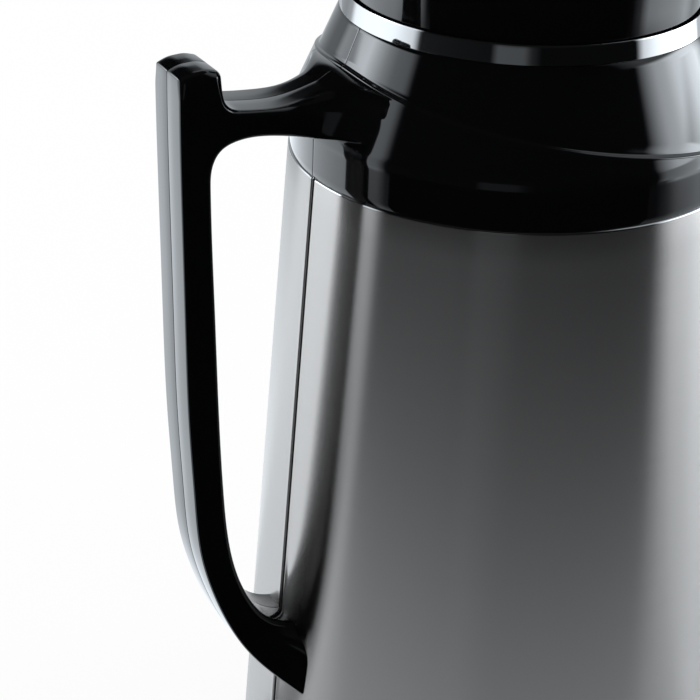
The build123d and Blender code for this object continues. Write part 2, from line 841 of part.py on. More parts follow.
# ---------------------------------------------------------------- lid housing
def beak_plan(margin, low, high):
    """Plan view of the pouring beak, wide at the lid and narrow at the lip."""
    reach = lid_radius + beak_reach - margin
    side = reach - beak_nose
    lip = beak_lip_half - margin / 2
    root = lid_radius - beak_root
    half = beak_width / 2 - margin
    edges = [
        Polyline((side, -lip), (root, -half), (root, half), (side, lip)),
        ThreePointArc((side, lip), (reach, 0), (side, -lip)),
    ]
    return Pos(0, 0, low) * extrude(make_face(edges), high - low)


def beak():
    """Beak under the rim, with a slanting underside."""
    low = lid_rim_z - beak_height
    side = Polyline(
        (lid_radius - beak_root, low),
        (lid_radius - beak_root + over, low),
        (lid_radius + beak_reach + over, lid_rim_z - beak_lip_depth),
        (lid_radius + beak_reach + over, lid_rim_z),
        (lid_radius - beak_root, lid_rim_z),
        close=True,
    )
    return side_slab([side], beak_width) & beak_plan(0, low, lid_rim_z)


def ears():
    """The two hinge ears behind the lid."""
    back = -lid_radius + lid_wall / 2
    side = Polyline(
        (back, lid_rim_z - ear_drop),
        (back, lid_rim_z - slide_gap),
        (hinge_x + knuckle_radius, lid_rim_z - slide_gap),
        (hinge_x + knuckle_radius, hinge_z),
        (hinge_x, hinge_z + knuckle_radius * 0.9),
        (hinge_x - knuckle_radius * 0.76, hinge_z - knuckle_radius * 0.65),
        (-lid_radius, lid_rim_z - ear_drop),
        close=True,
    )
    start = spring_bay / 2 + knuckle_length + seat_gap
    ear = side_slab([side], ear_length / 2)
    ear += Pos(hinge_x, 0, hinge_z) * Rot(90, 0, 0) * Cylinder(knuckle_radius, ear_length)
    reach = start + ear_length / 2
    return (Pos(0, -reach, 0) * ear) + (Pos(0, reach, 0) * ear)


def hinge_bore(extra):
    """The long bar of the hinge pin, used to cut its holes."""
    length = spring_bay + 2 * knuckle_length + 2 * ear_length + over
    return Pos(hinge_x, 0, hinge_z) * Rot(90, 0, 0) * Cylinder(hinge_pin_radius + extra, length)


def lid_housing():
    """Outer drum of the stopper with the ledge for its deck, the beak and the hinge ears."""
    deck_under_z = deck_top_z - deck_thickness
    inner = lid_radius - lid_wall
    body = rod(lid_radius, lid_foot_z, lid_rim_z) + beak()
    body -= rod(inner, lid_foot_z - over, lid_rim_z + over)
    body += tube(inner + weld, inner - ledge_width, deck_under_z - ledge_height, deck_under_z)
    body += ears()
    body -= beak_plan(beak_wall, deck_top_z + slide_gap, lid_rim_z + over)
    return body - hinge_bore(pin_gap)


def lid_deck():
    """Plate that rests on the drum's ledge; the plug is screwed up against its underside."""
    low = deck_top_z - deck_thickness
    plate = rod(lid_radius - lid_wall - slide_gap, low, deck_top_z)
    plate -= plug_tubes(tube_wall + slide_gap, low - over, deck_top_z + over)
    for bar in plug_screw_bars(small_screw_radius + seat_gap, low - over, deck_top_z + over):
        plate -= bar
    return plate


def hinge_pin():
    length = spring_bay + 2 * knuckle_length + 2 * ear_length + 2 * seat_gap
    return Pos(hinge_x, 0, hinge_z) * Rot(90, 0, 0) * Cylinder(hinge_pin_radius, length)


def hinge_spring():
    """Torsion spring round the pin; its leg bears on the back of the drum."""
    coil_radius = hinge_pin_radius + spring_slack + spring_wire / 2
    span = spring_bay - 4 * seat_gap - spring_wire
    path = Helix(pitch=span / spring_turns, height=span, radius=coil_radius)
    start = Plane(origin=path @ 0, x_dir=(1, 0, 0), z_dir=path % 0)
    coil = sweep(start * Circle(spring_wire / 2), path, is_frenet=True)
    leg = Pos(coil_radius, spring_leg / 2, 0) * Rot(90, 0, 0) * Cylinder(spring_wire / 2, spring_leg)
    spring = coil + leg
    return Pos(hinge_x, span / 2, hinge_z) * Rot(90, 0, 0) * mirror(spring, Plane.XZ)


# ---------------------------------------------------------------- flip cover
def cover_low_z():
    """Underside of the flip cover."""
    return lid_rim_z + seat_gap


def dome_solid(radius, low, edge, top):
    """A short drum with a flattened dome on it."""
    rise = top - edge
    crown = Spline((radius, edge), (0.8 * radius, edge + 0.7 * rise), (0, top), tangents=[(0, 1), (-1, 0)])
    outline = [Polyline((0, low), (radius, low), (radius, edge)), crown, Line((0, top), (0, low))]
    return revolve(Plane.XZ * make_face(outline), Axis.Z)


def flip_cover():
    """Domed cover with a beak of its own, two knuckles and the thumb tab."""
    low = cover_low_z()
    edge = low + cover_edge_height
    top = edge + cover_dome_height
    cover = dome_solid(lid_radius, low, edge, top)
    cover += beak_plan(cover_nose_inset, low, low + cover_nose_height)
    cover -= dome_solid(lid_radius - cover_wall, low - over, edge, top - cover_wall)
    return cover + cover_knuckles() + thumb_tab() - hinge_bore(pin_gap)


def cover_knuckles():
    """Two knuckles and the webs that join them to the rear edge of the cover."""
    reach = spring_bay / 2 + knuckle_length / 2
    low = cover_low_z() + seat_gap
    high = hinge_z + knuckle_radius - seat_gap
    length = -hinge_x - lid_radius + cover_wall
    knuckle = Pos(hinge_x, 0, hinge_z) * Rot(90, 0, 0) * Cylinder(knuckle_radius, knuckle_length)
    knuckle += Pos(hinge_x + length / 2, 0, (low + high) / 2) * Box(length, knuckle_length, high - low)
    return (Pos(0, -reach, 0) * knuckle) + (Pos(0, reach, 0) * knuckle)


def thumb_tab():
    """Plate behind the hinge; pressing it down lifts the cover."""
    reach = spring_bay / 2 + knuckle_length / 2
    plate = Pos(-tab_start - tab_length / 2, 0, 0) * Box(tab_length, tab_width, tab_thickness)
    plate = fillet(plate.edges().filter_by(Axis.Z), tab_corner)
    for y in (-reach, reach):
        plate += Pos(-tab_start / 2 - weld, y, 0) * Box(tab_start, knuckle_length, tab_thickness)
    return Pos(hinge_x, 0, hinge_z) * Rot(0, tab_angle, 0) * plate


def liner_low_z():
    """Underside of the disc inside the cover."""
    return cover_low_z() + liner_rise


def cover_liner():
    """Disc that closes the underside of the cover and carries both seals."""
    low = liner_low_z()
    disc = rod(lid_radius - cover_wall - slide_gap, low, low + liner_thickness)
    disc -= rod(pour_stem_radius, low - over, low + over, pour_tube_place)
    return disc - rod(vent_stem_radius, low - over, low + over, vent_tube_place)


def hanging_seal(place, tube_radius, stem_hole):
    """Rubber plug held in the liner by its stem, just above the rim of its tube."""
    low = deck_top_z + tube_rise + seat_gap
    head_z = liner_low_z() + liner_thickness
    seal = rod(tube_radius + tube_wall + seal_overlap, low, liner_low_z(), place)
    seal += rod(stem_hole - stem_squeeze, liner_low_z(), head_z, place)
    return seal + rod(stem_hole + seal_head, head_z, head_z + seal_head, place)


def pour_seal():
    return hanging_seal(pour_tube_place, pour_tube_radius, pour_stem_radius)


def vent_seal():
    return hanging_seal(vent_tube_place, vent_tube_radius, vent_stem_radius)


# ---------------------------------------------------------------- output
pieces = {
    "outer_shell": outer_shell,
    "shoulder": shoulder,
    "trim_ring": trim_ring,
    "neck_collar": neck_collar,
    "collar_screws": collar_screws,
    "mouth_gasket": mouth_gasket,
    "refill_outer": refill_outer,
    "refill_inner": refill_inner,
    "refill_spacers": refill_spacers,
    "refill_cushion": refill_cushion,
    "base_ring": base_ring,
    "base_plug": base_plug,
    "foot_ring": foot_ring,
    "handle_anchor": handle_anchor,
    "handle_screw": handle_screw,
    "stopper_gasket": stopper_gasket,
    "stopper_plug": stopper_plug,
    "pour_tube": pour_tube,
    "vent_tube": vent_tube,
    "plug_cap": plug_cap,
    "plug_insulation": plug_insulation,
    "plug_screws": plug_screws,
    "lid_housing": lid_housing,
    "lid_deck": lid_deck,
    "hinge_pin": hinge_pin,
    "hinge_spring": hinge_spring,
    "flip_cover": flip_cover,
    "cover_liner": cover_liner,
    "pour_seal": pour_seal,
    "vent_seal": vent_seal,
}

os.makedirs("parts", exist_ok=True)
for name, make in pieces.items():
    export_step(make(), f"parts/{name}.step")
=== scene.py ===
# %% [markdown]
# # A thermal carafe: steel body, black shoulder with a strap handle, screw-in stopper
#
# The carafe is measured and jointed already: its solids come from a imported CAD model, and this
# file dresses them. A dresser never moves a solid. Where a solid's shape is good enough it only
# gets a finish, and where light would show its facets a finer skin stands in for it.
# Everything is in metres, the handle points to -X, the pouring beak to +X, and Z is up.

import json
import math

import bmesh
import bpy
import numpy as np
from mathutils import Matrix, Vector
from mathutils.geometry import delaunay_2d_cdt


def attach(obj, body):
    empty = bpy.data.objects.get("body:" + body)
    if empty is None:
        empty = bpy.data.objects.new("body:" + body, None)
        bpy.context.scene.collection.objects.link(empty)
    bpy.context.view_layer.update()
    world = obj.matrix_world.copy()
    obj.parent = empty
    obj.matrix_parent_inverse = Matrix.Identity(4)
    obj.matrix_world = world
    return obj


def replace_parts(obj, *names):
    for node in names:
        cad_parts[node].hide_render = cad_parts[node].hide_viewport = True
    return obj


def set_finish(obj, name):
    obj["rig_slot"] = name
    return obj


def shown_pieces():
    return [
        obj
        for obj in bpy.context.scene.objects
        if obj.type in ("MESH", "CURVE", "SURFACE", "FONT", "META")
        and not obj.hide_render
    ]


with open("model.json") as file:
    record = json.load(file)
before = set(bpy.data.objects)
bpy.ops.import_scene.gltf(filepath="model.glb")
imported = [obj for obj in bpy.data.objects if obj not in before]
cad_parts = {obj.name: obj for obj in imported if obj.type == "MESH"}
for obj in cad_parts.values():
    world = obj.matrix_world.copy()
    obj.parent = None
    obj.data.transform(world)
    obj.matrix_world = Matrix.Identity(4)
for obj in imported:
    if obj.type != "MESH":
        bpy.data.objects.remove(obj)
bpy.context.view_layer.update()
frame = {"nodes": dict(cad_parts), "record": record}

# %% [markdown]
# ## The camera
#
# The camera comes first, because everything else is judged through it. It stands to the left of
# the handle, looks down by about 27 degrees and leans by two, which crops the lid at the top
# and the foot at the bottom. A long lens far away keeps the sides of the cone nearly straight.

# %% Camera
eye = Vector((-0.331405, -0.518184, 0.454500))
to_the_right = Vector((0.888941, -0.457037, 0.030062))
upwards = Vector((0.180268, 0.409451, 0.894345))

lens = bpy.data.cameras.new("product_lens")
lens.sensor_width = 36.0
lens.lens = 108.022
lens.clip_start = 0.05
lens.clip_end = 30.0
camera = bpy.data.objects.new("product_camera", lens)
backwards = to_the_right.cross(upwards)
camera.matrix_world = Matrix((to_the_right, upwards, backwards)).transposed().to_4x4()
camera.location = eye
bpy.context.scene.collection.objects.link(camera)
bpy.context.scene.camera = camera
print("camera at", [round(v, 3) for v in eye], "looking along", [round(-v, 3) for v in backwards])

# %% [markdown]
# ## Meshes from lists of points
#
# Every skin is written down as points in millimetres and faces between them. One helper makes
# the mesh, turns its faces outwards, shades it smoothly except over sharp edges, and lets it
# ride on a body of the frame, so that it moves as the solid does.

# %% Mesh from points
MM = 0.001
DOUBLED = 2e-6


def outwards(mesh):
    """Joins points that lie on one another, and turns the faces so that they all look out."""
    editable = bmesh.new()
    editable.from_mesh(mesh)
    bmesh.ops.remove_doubles(editable, verts=editable.verts, dist=DOUBLED)
    bmesh.ops.recalc_face_normals(editable, faces=editable.faces)
    editable.to_mesh(mesh)
    editable.free()


def mesh_piece(name, points, faces, body, slot, crease=40.0):
    """A smooth-shaded mesh from points in millimetres, riding on a body of the frame."""
    mesh = bpy.data.meshes.new(name)
    mesh.from_pydata([(x * MM, y * MM, z * MM) for x, y, z in points], [], faces)
    mesh.validate()
    outwards(mesh)
    mesh.shade_smooth()
    mesh.set_sharp_from_angle(angle=math.radians(crease))
    piece = bpy.data.objects.new(name, mesh)
    bpy.context.scene.collection.objects.link(piece)
    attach(piece, body)
    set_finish(piece, slot)
    print(f"{name}: {len(mesh.vertices)} points, {len(mesh.polygons)} faces")
    return piece


# %% Grids round the axis
def at(angle, radius, z):
    """The point at an angle round the axis, a distance from it and a height."""
    return radius * math.cos(angle), radius * math.sin(angle), z


def spread(first, last, count):
    """Evenly spaced values from first up to, and without, last."""
    return [first + (last - first) * k / count for k in range(count)]


def closed_grid(sections):
    """Points and faces of closed sections of equal length, each joined to the next one."""
    points = [p for section in sections for p in section]
    rows, count = len(sections[0]), len(sections)
    faces = []
    for i in range(count):
        for k in range(rows):
            a, b = i * rows, ((i + 1) % count) * rows
            n = (k + 1) % rows
            faces.append((a + k, b + k, b + n, a + n))
    return points, faces


print("points closer than", DOUBLED * 1e6, "thousandths of a millimetre are joined")

# %% [markdown]
# ## Sizes
#
# These are the outside sizes of the measured solids, in millimetres. The steel body is a plain
# cone, and the neck above it is a steeper one, so both are given by one slope each.

# %% Sizes of the outside
SHELL_TOP = (70.0, 222.0)
SHELL_FOOT = (81.76, 5.0)
NECK_TOP = (55.3, 266.2)
NECK_FOOT = (68.35, 235.5)
NECK_SLOPE = (NECK_FOOT[0] - NECK_TOP[0]) / (NECK_TOP[1] - NECK_FOOT[1])
SHELL_SLOPE = (SHELL_FOOT[0] - SHELL_TOP[0]) / (SHELL_TOP[1] - SHELL_FOOT[1])


def shell_radius(z):
    return SHELL_TOP[0] + SHELL_SLOPE * (SHELL_TOP[1] - z)


def neck_radius(z):
    return NECK_TOP[0] + NECK_SLOPE * (NECK_TOP[1] - z)


print("shell leans", round(math.degrees(math.atan(SHELL_SLOPE)), 2), "degrees")
print("neck leans", round(math.degrees(math.atan(NECK_SLOPE)), 2), "degrees")

# %% [markdown]
# ## The steel body
#
# The body is sheet steel rolled into a cone and folded together behind the handle, where a
# narrow sunk seam runs from top to foot. A lathe can't make a straight seam, so the skin is a
# grid: columns of points stand close together across the seam and evenly round the rest.

# %% Steel body
SHELL_WALL, SHELL_EDGE = 0.8, 0.6
SEAM_Y, FOLD_HALF = -1.2, 0.86
half_seam = [(0.5, -0.73), (0.78, -0.68), (0.88, -0.5), (0.92, -0.1), (1.0, 0.06), (1.2, 0.16)]
half_seam += [(1.45, 0.14), (2.0, 0.03), (3.2, 0.0)]
seam_section = [(-across, depth) for across, depth in reversed(half_seam)] + half_seam


def steel_columns(z, plain=280):
    """Angle and depth of every column of the skin at height z, once round from the seam."""
    columns = []
    for across, depth in reversed(seam_section):
        columns.append((math.pi - math.asin((SEAM_Y + across) / shell_radius(z)), depth))
    start, end = columns[-1][0], columns[0][0] + 2 * math.pi
    return columns + [(angle, 0.0) for angle in spread(start, end, plain)[1:]]


def steel_outline():
    """Outline of the sheet: depth below the outer face and height, from the inside round."""
    foot, top = SHELL_FOOT[1], SHELL_TOP[1]
    line = [(SHELL_WALL, foot)] + [(0.0, z) for z in spread(foot, top - SHELL_EDGE, 24)]
    for degrees in (0, 18, 36, 54, 72, 90):
        angle = math.radians(degrees)
        line.append((SHELL_EDGE * (1 - math.cos(angle)), top - SHELL_EDGE * (1 - math.sin(angle))))
    return line + [(SHELL_WALL, top)]


def steel_body():
    rings = []
    for depth, z in steel_outline():
        ring = []
        for angle, seam in steel_columns(z):
            outer = depth < SHELL_WALL / 2
            ring.append(at(angle, shell_radius(z) - depth + (seam if outer else 0.0), z))
        rings.append(ring)
    return mesh_piece("steel_body", *closed_grid(rings), "jug", "steel")


body_skin = steel_body()
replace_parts(body_skin, "outer_shell")

# %% [markdown]
# ## The black shoulder
#
# The shoulder, the neck and the handle are one glossy moulding. A skirt stands on the steel, and
# on the handle's side a saddle climbs the neck and ends in a small step that runs down on a
# slant towards the front. The radius is a function of angle and height, so the skin is a grid
# again, and its rows follow the step, because rows that cross an edge would blur it.

# %% Skirt, saddle and step
SKIRT_RADIUS, SKIRT_FOOT, SKIRT_TOP = 69.6, 222.05, 235.4
SADDLE_PEAK, SADDLE_PROUD = 255.6, 1.1
SADDLE_FALL, SADDLE_EASE = 0.178, 14.0
peak_radius = neck_radius(SADDLE_PEAK) + SADDLE_PROUD
SADDLE_SLOPE = (SKIRT_RADIUS - peak_radius) / (SADDLE_PEAK - SKIRT_TOP)


def raised_radius(z, fillet=2.2):
    """Radius of the skirt and of the saddle above it, with a soft edge between them."""
    above = z - SKIRT_TOP
    if above < -fillet:
        return SKIRT_RADIUS
    if above < fillet:
        return SKIRT_RADIUS - SADDLE_SLOPE * (above + fillet) ** 2 / (4 * fillet)
    return SKIRT_RADIUS - SADDLE_SLOPE * above


def step_height(angle, lowest=236.1, blend=1.2):
    """Height at which the raised part ends: it falls evenly from the back, down to the skirt."""
    away = math.degrees(abs(angle % (2 * math.pi) - math.pi))
    z = SADDLE_PEAK - SADDLE_FALL * (math.hypot(away, SADDLE_EASE) - SADDLE_EASE)
    gap = (z - lowest) / blend
    return lowest + blend * (math.log1p(math.exp(-abs(gap))) + max(gap, 0.0))


print("the step falls from", SADDLE_PEAK, "to", round(step_height(0.0), 1), "mm")

# %% Shoulder's outline
OUTER_SHARE, OUTER_RISE = 0.6, 0.7
INNER_SHARE, INNER_RISE = 0.4, 0.4


def shoulder_outline(angle):
    """Outer points (radius, height) of the moulding at an angle, from the steel to the ring.

    Rows stand closer the nearer they are to the step. The step is an outer round and an inner
    one, each with a share of its depth and a rise.
    """
    edge = step_height(angle)
    low, middle, high = min(233.0, edge - 2.2), min(238.0, edge - 1.2), edge - 0.8
    rows = spread(SKIRT_FOOT + 0.3, low, 6) + spread(low, middle, 12) + spread(middle, high, 10)
    line = [(SKIRT_RADIUS - 0.3, SKIRT_FOOT), (SKIRT_RADIUS - 0.1, SKIRT_FOOT + 0.07)]
    line += [(raised_radius(z), z) for z in rows]
    outside, inside = raised_radius(high), neck_radius(edge + 0.1)
    depth = outside - inside
    for turn in np.radians((0, 15, 30, 45, 60, 75, 90)):
        radius = outside - OUTER_SHARE * depth * (1 - math.cos(turn))
        line.append((radius, high + OUTER_RISE * math.sin(turn)))
    for turn in np.radians((22.5, 45, 67.5, 90)):
        radius = inside + INNER_SHARE * depth * (1 - math.sin(turn))
        line.append((radius, edge + 0.35 - INNER_RISE * math.cos(turn)))
    radius, top = NECK_TOP
    rows = spread(edge + 0.8, top - 0.3, 12) + [top - 0.3]
    line += [(neck_radius(z), z) for z in rows]
    return line + [(radius - 0.12, top - 0.08), (radius - 0.4, top)]


SHOULDER_WALL = 2.6
shoulder_inside = [(53.8, 266.2), (53.8, 268.3), (51.2, 268.3), (51.2, 261.3)]
shoulder_inside += [(31.0, 261.3), (31.0, 258.8)]
shoulder_inside += [(neck_radius(z) - SHOULDER_WALL, z) for z in (258.8, SKIRT_TOP)]
shoulder_inside += [(66.4, 222.0), (66.4, 214.0), (69.0, 214.0), (69.0, 222.0)]
print("outline at the back:", len(shoulder_outline(math.pi)) + len(shoulder_inside), "points")

# %% Parting line and shoulder
PARTING_HALF, PARTING_DEPTH = 0.3, 0.12
PARTING_COLUMNS = (-0.3, -0.2, -0.12, -0.06, 0.0, 0.06, 0.12, 0.2, 0.3)


def parting(y):
    """Depth of the fine line that the two halves of the mould leave in the plane y = 0."""
    share = math.exp(-((2 * y / PARTING_HALF) ** 2)) if abs(y) < PARTING_HALF else 0.0
    return PARTING_DEPTH * share


def shoulder_angles():
    """Columns round the moulding: dense beside the handle, very fine at the parting line."""
    back = [math.pi + y / SKIRT_RADIUS for y in PARTING_COLUMNS]
    front = [angle + math.pi for angle in back]
    side, round_again = math.radians(55.0), back[0] + 2 * math.pi
    far = spread(back[-1], math.pi + side, 130)[1:] + spread(math.pi + side, front[0], 110)
    near = spread(front[-1], 3 * math.pi - side, 110)[1:]
    return back + far + front + near + spread(3 * math.pi - side, round_again, 130)


def shoulder_moulding():
    sections = []
    for angle in shoulder_angles():
        line = [(r - parting(r * math.sin(angle)), z) for r, z in shoulder_outline(angle)]
        sections.append([at(angle, radius, z) for radius, z in line + shoulder_inside])
    return mesh_piece("shoulder_moulding", *closed_grid(sections), "jug", "black_gloss", 50.0)


shoulder_skin = shoulder_moulding()
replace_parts(shoulder_skin, "shoulder")

# %% [markdown]
# ## Lines for side views
#
# A moulded side view is partly free curves and partly corners with a small radius, since sharp
# corners never look real. One helper lays a smooth curve through a few points, as a bent spline
# does on a drawing board, and the other rounds every corner of a line as far as it fits.

# %% Smooth curves
def smooth_line(points, start_way, end_way, step=1.0):
    """A cubic curve through points, leaving and arriving along two directions."""
    p = np.array(points, float)
    gaps = np.linalg.norm(np.diff(p, axis=0), axis=1)
    n = len(p)
    system, right = np.zeros((n, n)), np.zeros((n, 2))
    for end, way in ((0, start_way), (n - 1, end_way)):
        system[end, end] = 1.0
        right[end] = np.array(way, float) / np.linalg.norm(way)
    for i in range(1, n - 1):
        a, b = gaps[i - 1], gaps[i]
        system[i, i - 1 : i + 2] = b, 2 * (a + b), a
        right[i] = 3 * (b * (p[i] - p[i - 1]) / a + a * (p[i + 1] - p[i]) / b)
    ways = np.linalg.solve(system, right)
    line = []
    for i in range(n - 1):
        count = max(2, int(math.ceil(gaps[i] / step)))
        for k in range(count):
            u = k / count
            line.append(
                (2 * u**3 - 3 * u**2 + 1) * p[i]
                + (u**3 - 2 * u**2 + u) * gaps[i] * ways[i]
                + (3 * u**2 - 2 * u**3) * p[i + 1]
                + (u**3 - u**2) * gaps[i] * ways[i + 1]
            )
    line.append(p[-1])
    return [tuple(q) for q in line]


# %% Rounded corners
NEARLY_STRAIGHT = math.radians(2.0)


def soften(outline, steps=5, closed=True):
    """An outline of (x, z, rounding) points with every corner rounded as far as it fits."""
    points = [Vector(p[:2]) for p in outline]
    wanted = [p[2] if len(p) > 2 else 0.0 for p in outline]
    count = len(points)
    result = []
    for i, corner in enumerate(points):
        if not closed and i in (0, count - 1):
            result.append(tuple(corner))
            continue
        before, after = points[i - 1] - corner, points[(i + 1) % count] - corner
        turn = math.pi - before.angle(after)
        if turn < NEARLY_STRAIGHT or wanted[i] <= 0.0 or corner.x < 1e-6:
            result.append(tuple(corner))
            continue
        reach = wanted[i] * math.tan(turn / 2)
        reach = min(reach, 0.49 * before.length, 0.49 * after.length)
        start, end = corner + before.normalized() * reach, corner + after.normalized() * reach
        bend = reach / math.tan(turn / 2)
        halfway = (before.normalized() + after.normalized()).normalized()
        centre = corner + halfway * bend / math.cos(turn / 2)
        first = math.atan2(start.y - centre.y, start.x - centre.x)
        sweep = math.atan2(end.y - centre.y, end.x - centre.x) - first
        sweep = (sweep + math.pi) % (2 * math.pi) - math.pi
        for k in range(steps + 1):
            angle = first + sweep * k / steps
            result.append((centre.x + bend * math.cos(angle), centre.y + bend * math.sin(angle)))
    return result


print("corners that turn less than", round(math.degrees(NEARLY_STRAIGHT)), "degrees stay")

# %% [markdown]
# ## The strap handle
#
# Seen from the side the strap is a flat shape: up the outer face, over a stub, along the arm,
# back under it and down the inner face. So the side view is drawn as one closed curve, and a
# second function says how wide the strap is at each of its points. It is as wide as a finger
# nearly everywhere, and widens at both ends in a curve that nearly touches the jug's surface.

# %% Width of the strap
STRAP_HALF, STRAP_MIDDLE = 9.85, 160.7
ARM_FLARE = 82.0
WING_START, WING_BEND, WING_MOST = 95.4, 24.6, 62.0
HEEL, HEEL_FALL = 71.0, 0.65


def flare(radius, start, bend, most):
    """How much wider the strap's side stands at a radius, on an arc that begins at start."""
    if radius >= start:
        return 0.0
    angle = min(math.asin(min(1.0, (start - radius) / bend)), math.radians(most))
    return bend * (1 - math.cos(angle))


def strap_half(radius, z):
    """Half of the strap's width: it runs tangent into the shoulder; the foot's wings fall away."""
    if z > STRAP_MIDDLE:
        wall = raised_radius(min(z, SADDLE_PEAK))
        bend = (ARM_FLARE**2 + STRAP_HALF**2 - wall**2) / (2 * (wall - STRAP_HALF))
        most = 90.0 - math.degrees(math.atan2(STRAP_HALF + bend, ARM_FLARE))
        return STRAP_HALF + flare(radius, ARM_FLARE, bend, most)
    wing, fall = flare(radius, WING_START, WING_BEND, WING_MOST), (HEEL - z) / HEEL_FALL
    if wing <= 0.0 or fall <= 0.0:
        return STRAP_HALF
    return STRAP_HALF + (wing**-4 + fall**-4) ** -0.25


print("strap:", 2 * STRAP_HALF, "mm wide,", round(2 * strap_half(74.0, 60.0), 1), "mm at its foot")

# %% Side view of the strap
EDGE_ROUND, ARM_SOFTER, STUB_SOFTER = 1.6, 5.2, 1.2


def eased(value, start, end):
    """0 before start, 1 after end, and a smooth step between."""
    share = min(1.0, max(0.0, (value - start) / (end - start)))
    return share * share * (3 - 2 * share)


def edge_round(radius, z):
    """Rounding of the long edges: soft on top of the stub, and softer still where the arm ends."""
    if z > 244.0 and radius < 92.0:
        return EDGE_ROUND + ARM_SOFTER * eased(radius, 90.0, 65.0)
    if z > 254.0 and radius > 100.0:
        return EDGE_ROUND + STUB_SOFTER * eased(z, 254.0, 261.0)
    return EDGE_ROUND


def strap_outline():
    """The side view as (radius, height), from the toe up the outer face and back."""
    outer = [(69.3, 42.4), (79.4, 49.6), (90.0, 60.2), (98.2, 72.9), (105.5, 90.0), (109.6, 105.0)]
    outer += [(111.7, 124.8), (113.4, 150.0), (114.6, 187.0), (115.5, 225.0), (116.0, 259.6)]
    top = [(116.0, 258.0), (116.0, 261.0, 1.0), (112.6, 262.5, 9.0), (107.6, 262.9, 8.0)]
    top += [(102.9, 261.7, 2.6), (102.8, 257.4)]
    fall = [(102.8, 257.4), (102.6, 254.9), (101.7, 252.2), (99.7, 250.4), (96.4, 249.6)]
    fall += [(90.0, 249.0), (83.0, 249.0), (74.4, 250.5), (66.5, 252.7), (59.8, 254.1)]
    root = [(50.0, 254.1), (50.0, 238.8)]
    inner = [(64.0, 238.4), (72.0, 238.1), (79.0, 239.0), (88.0, 240.5), (98.0, 240.4)]
    inner += [(103.4, 238.0), (105.7, 234.0), (106.3, 227.0), (105.9, 212.0), (104.9, 187.0)]
    inner += [(103.4, 150.0), (101.9, 125.0), (99.6, 105.0), (97.0, 94.6), (92.6, 84.4)]
    inner += [(86.4, 76.2), (79.0, 72.4), (73.1, 71.6)]
    line = smooth_line(outer, (1, 0.62), (0, 1))[:-1] + soften(top, closed=False)[1:-1]
    line += smooth_line(fall, (0, -1), (-1, 0.22)) + root
    return line + smooth_line(inner, (1, 0.0), (-1, -0.1))


strap_line = strap_outline()
print("side view of the strap:", len(strap_line), "points")

# %% [markdown]
# The long edges are rounded as with a router: copies of the side view move inwards while they
# climb to the side face. In a narrow place such a copy folds over itself, and the small loop
# has to be drawn together before the flat side is filled with triangles.

# %% Rings inside the side view
def offset_rings(line, distances):
    """The closed line moved inwards by each distance, as arrays of points."""
    p = np.array(line, float)
    ahead, behind = np.roll(p, -1, axis=0) - p, p - np.roll(p, 1, axis=0)
    ahead /= np.linalg.norm(ahead, axis=1)[:, None]
    behind /= np.linalg.norm(behind, axis=1)[:, None]
    x, z = p[:, 0], p[:, 1]
    area = 0.5 * np.sum(x * np.roll(z, -1) - np.roll(x, -1) * z)
    inward = np.stack([-(ahead + behind)[:, 1], (ahead + behind)[:, 0]], axis=1) * np.sign(area)
    inward /= np.linalg.norm(inward, axis=1)[:, None]
    half_turn = np.sqrt(np.clip((1 + np.sum(ahead * behind, axis=1)) / 2, 0.25, 1.0))
    return [p + inward * (d / half_turn)[:, None] for d in distances]


def unlooped(ring, reach=40):
    """A closed ring whose small loops are drawn together into the point where it crosses itself."""
    ring = ring.copy()
    for span in range(2, reach):
        way, apart = np.roll(ring, -1, axis=0) - ring, np.roll(ring, -span, axis=0) - ring
        other = np.roll(way, -span, axis=0)
        cross = way[:, 0] * other[:, 1] - way[:, 1] * other[:, 0]
        cross[np.abs(cross) < 1e-12] = np.inf
        here = (apart[:, 0] * other[:, 1] - apart[:, 1] * other[:, 0]) / cross
        there = (apart[:, 0] * way[:, 1] - apart[:, 1] * way[:, 0]) / cross
        for i in np.flatnonzero((here > 0) & (here < 1) & (there > 0) & (there < 1)):
            for k in range(i + 1, i + span + 1):
                ring[k % len(ring)] = ring[i] + here[i] * way[i]
    return ring


# %% Filling the flat sides
LATTICE = 1.2


def inside(points, line):
    """Which points lie inside a closed line."""
    hit = np.zeros(len(points), bool)
    p = np.array(line, float)
    for a, b in zip(p, np.roll(p, -1, axis=0)):
        if a[1] == b[1]:
            continue
        crosses = (a[1] > points[:, 1]) != (b[1] > points[:, 1])
        x = a[0] + (points[:, 1] - a[1]) * (b[0] - a[0]) / (b[1] - a[1])
        hit ^= crosses & (points[:, 0] < x)
    return hit


def side_face(ring):
    """Triangles that fill a closed ring, with a lattice of points between."""
    low, high = ring.min(axis=0), ring.max(axis=0)
    xs, zs = np.arange(low[0], high[0], LATTICE), np.arange(low[1], high[1], LATTICE * 0.87)
    lattice = np.array([(x + (k % 2) * LATTICE / 2, z) for k, z in enumerate(zs) for x in xs])
    lattice = lattice[inside(lattice, ring)]
    near = np.array([np.min(np.sum((ring - q) ** 2, axis=1)) for q in lattice])
    lattice = lattice[near > (0.6 * LATTICE) ** 2]
    flat = [Vector(q) for q in np.concatenate([ring, lattice])]
    edges = [(i, (i + 1) % len(ring)) for i in range(len(ring))]
    points, _, faces, origins, _, _ = delaunay_2d_cdt(flat, edges, [], 1, 1e-5)
    return points, faces, origins


# %% [markdown]
# The ends of the strap stand in the moulding. A point that would come out inside the jug is
# moved out to just below the surface, and the arm's top is kept a little under the step.

# %% Ends in the wall
WALL_DEPTH = 2.2
STEP_CLEAR, STEP_RISE = 0.7, 0.45
LIFT_REACH, LIFT_FROM, LIFT_ALL = 7.0, 6.5, 2.0


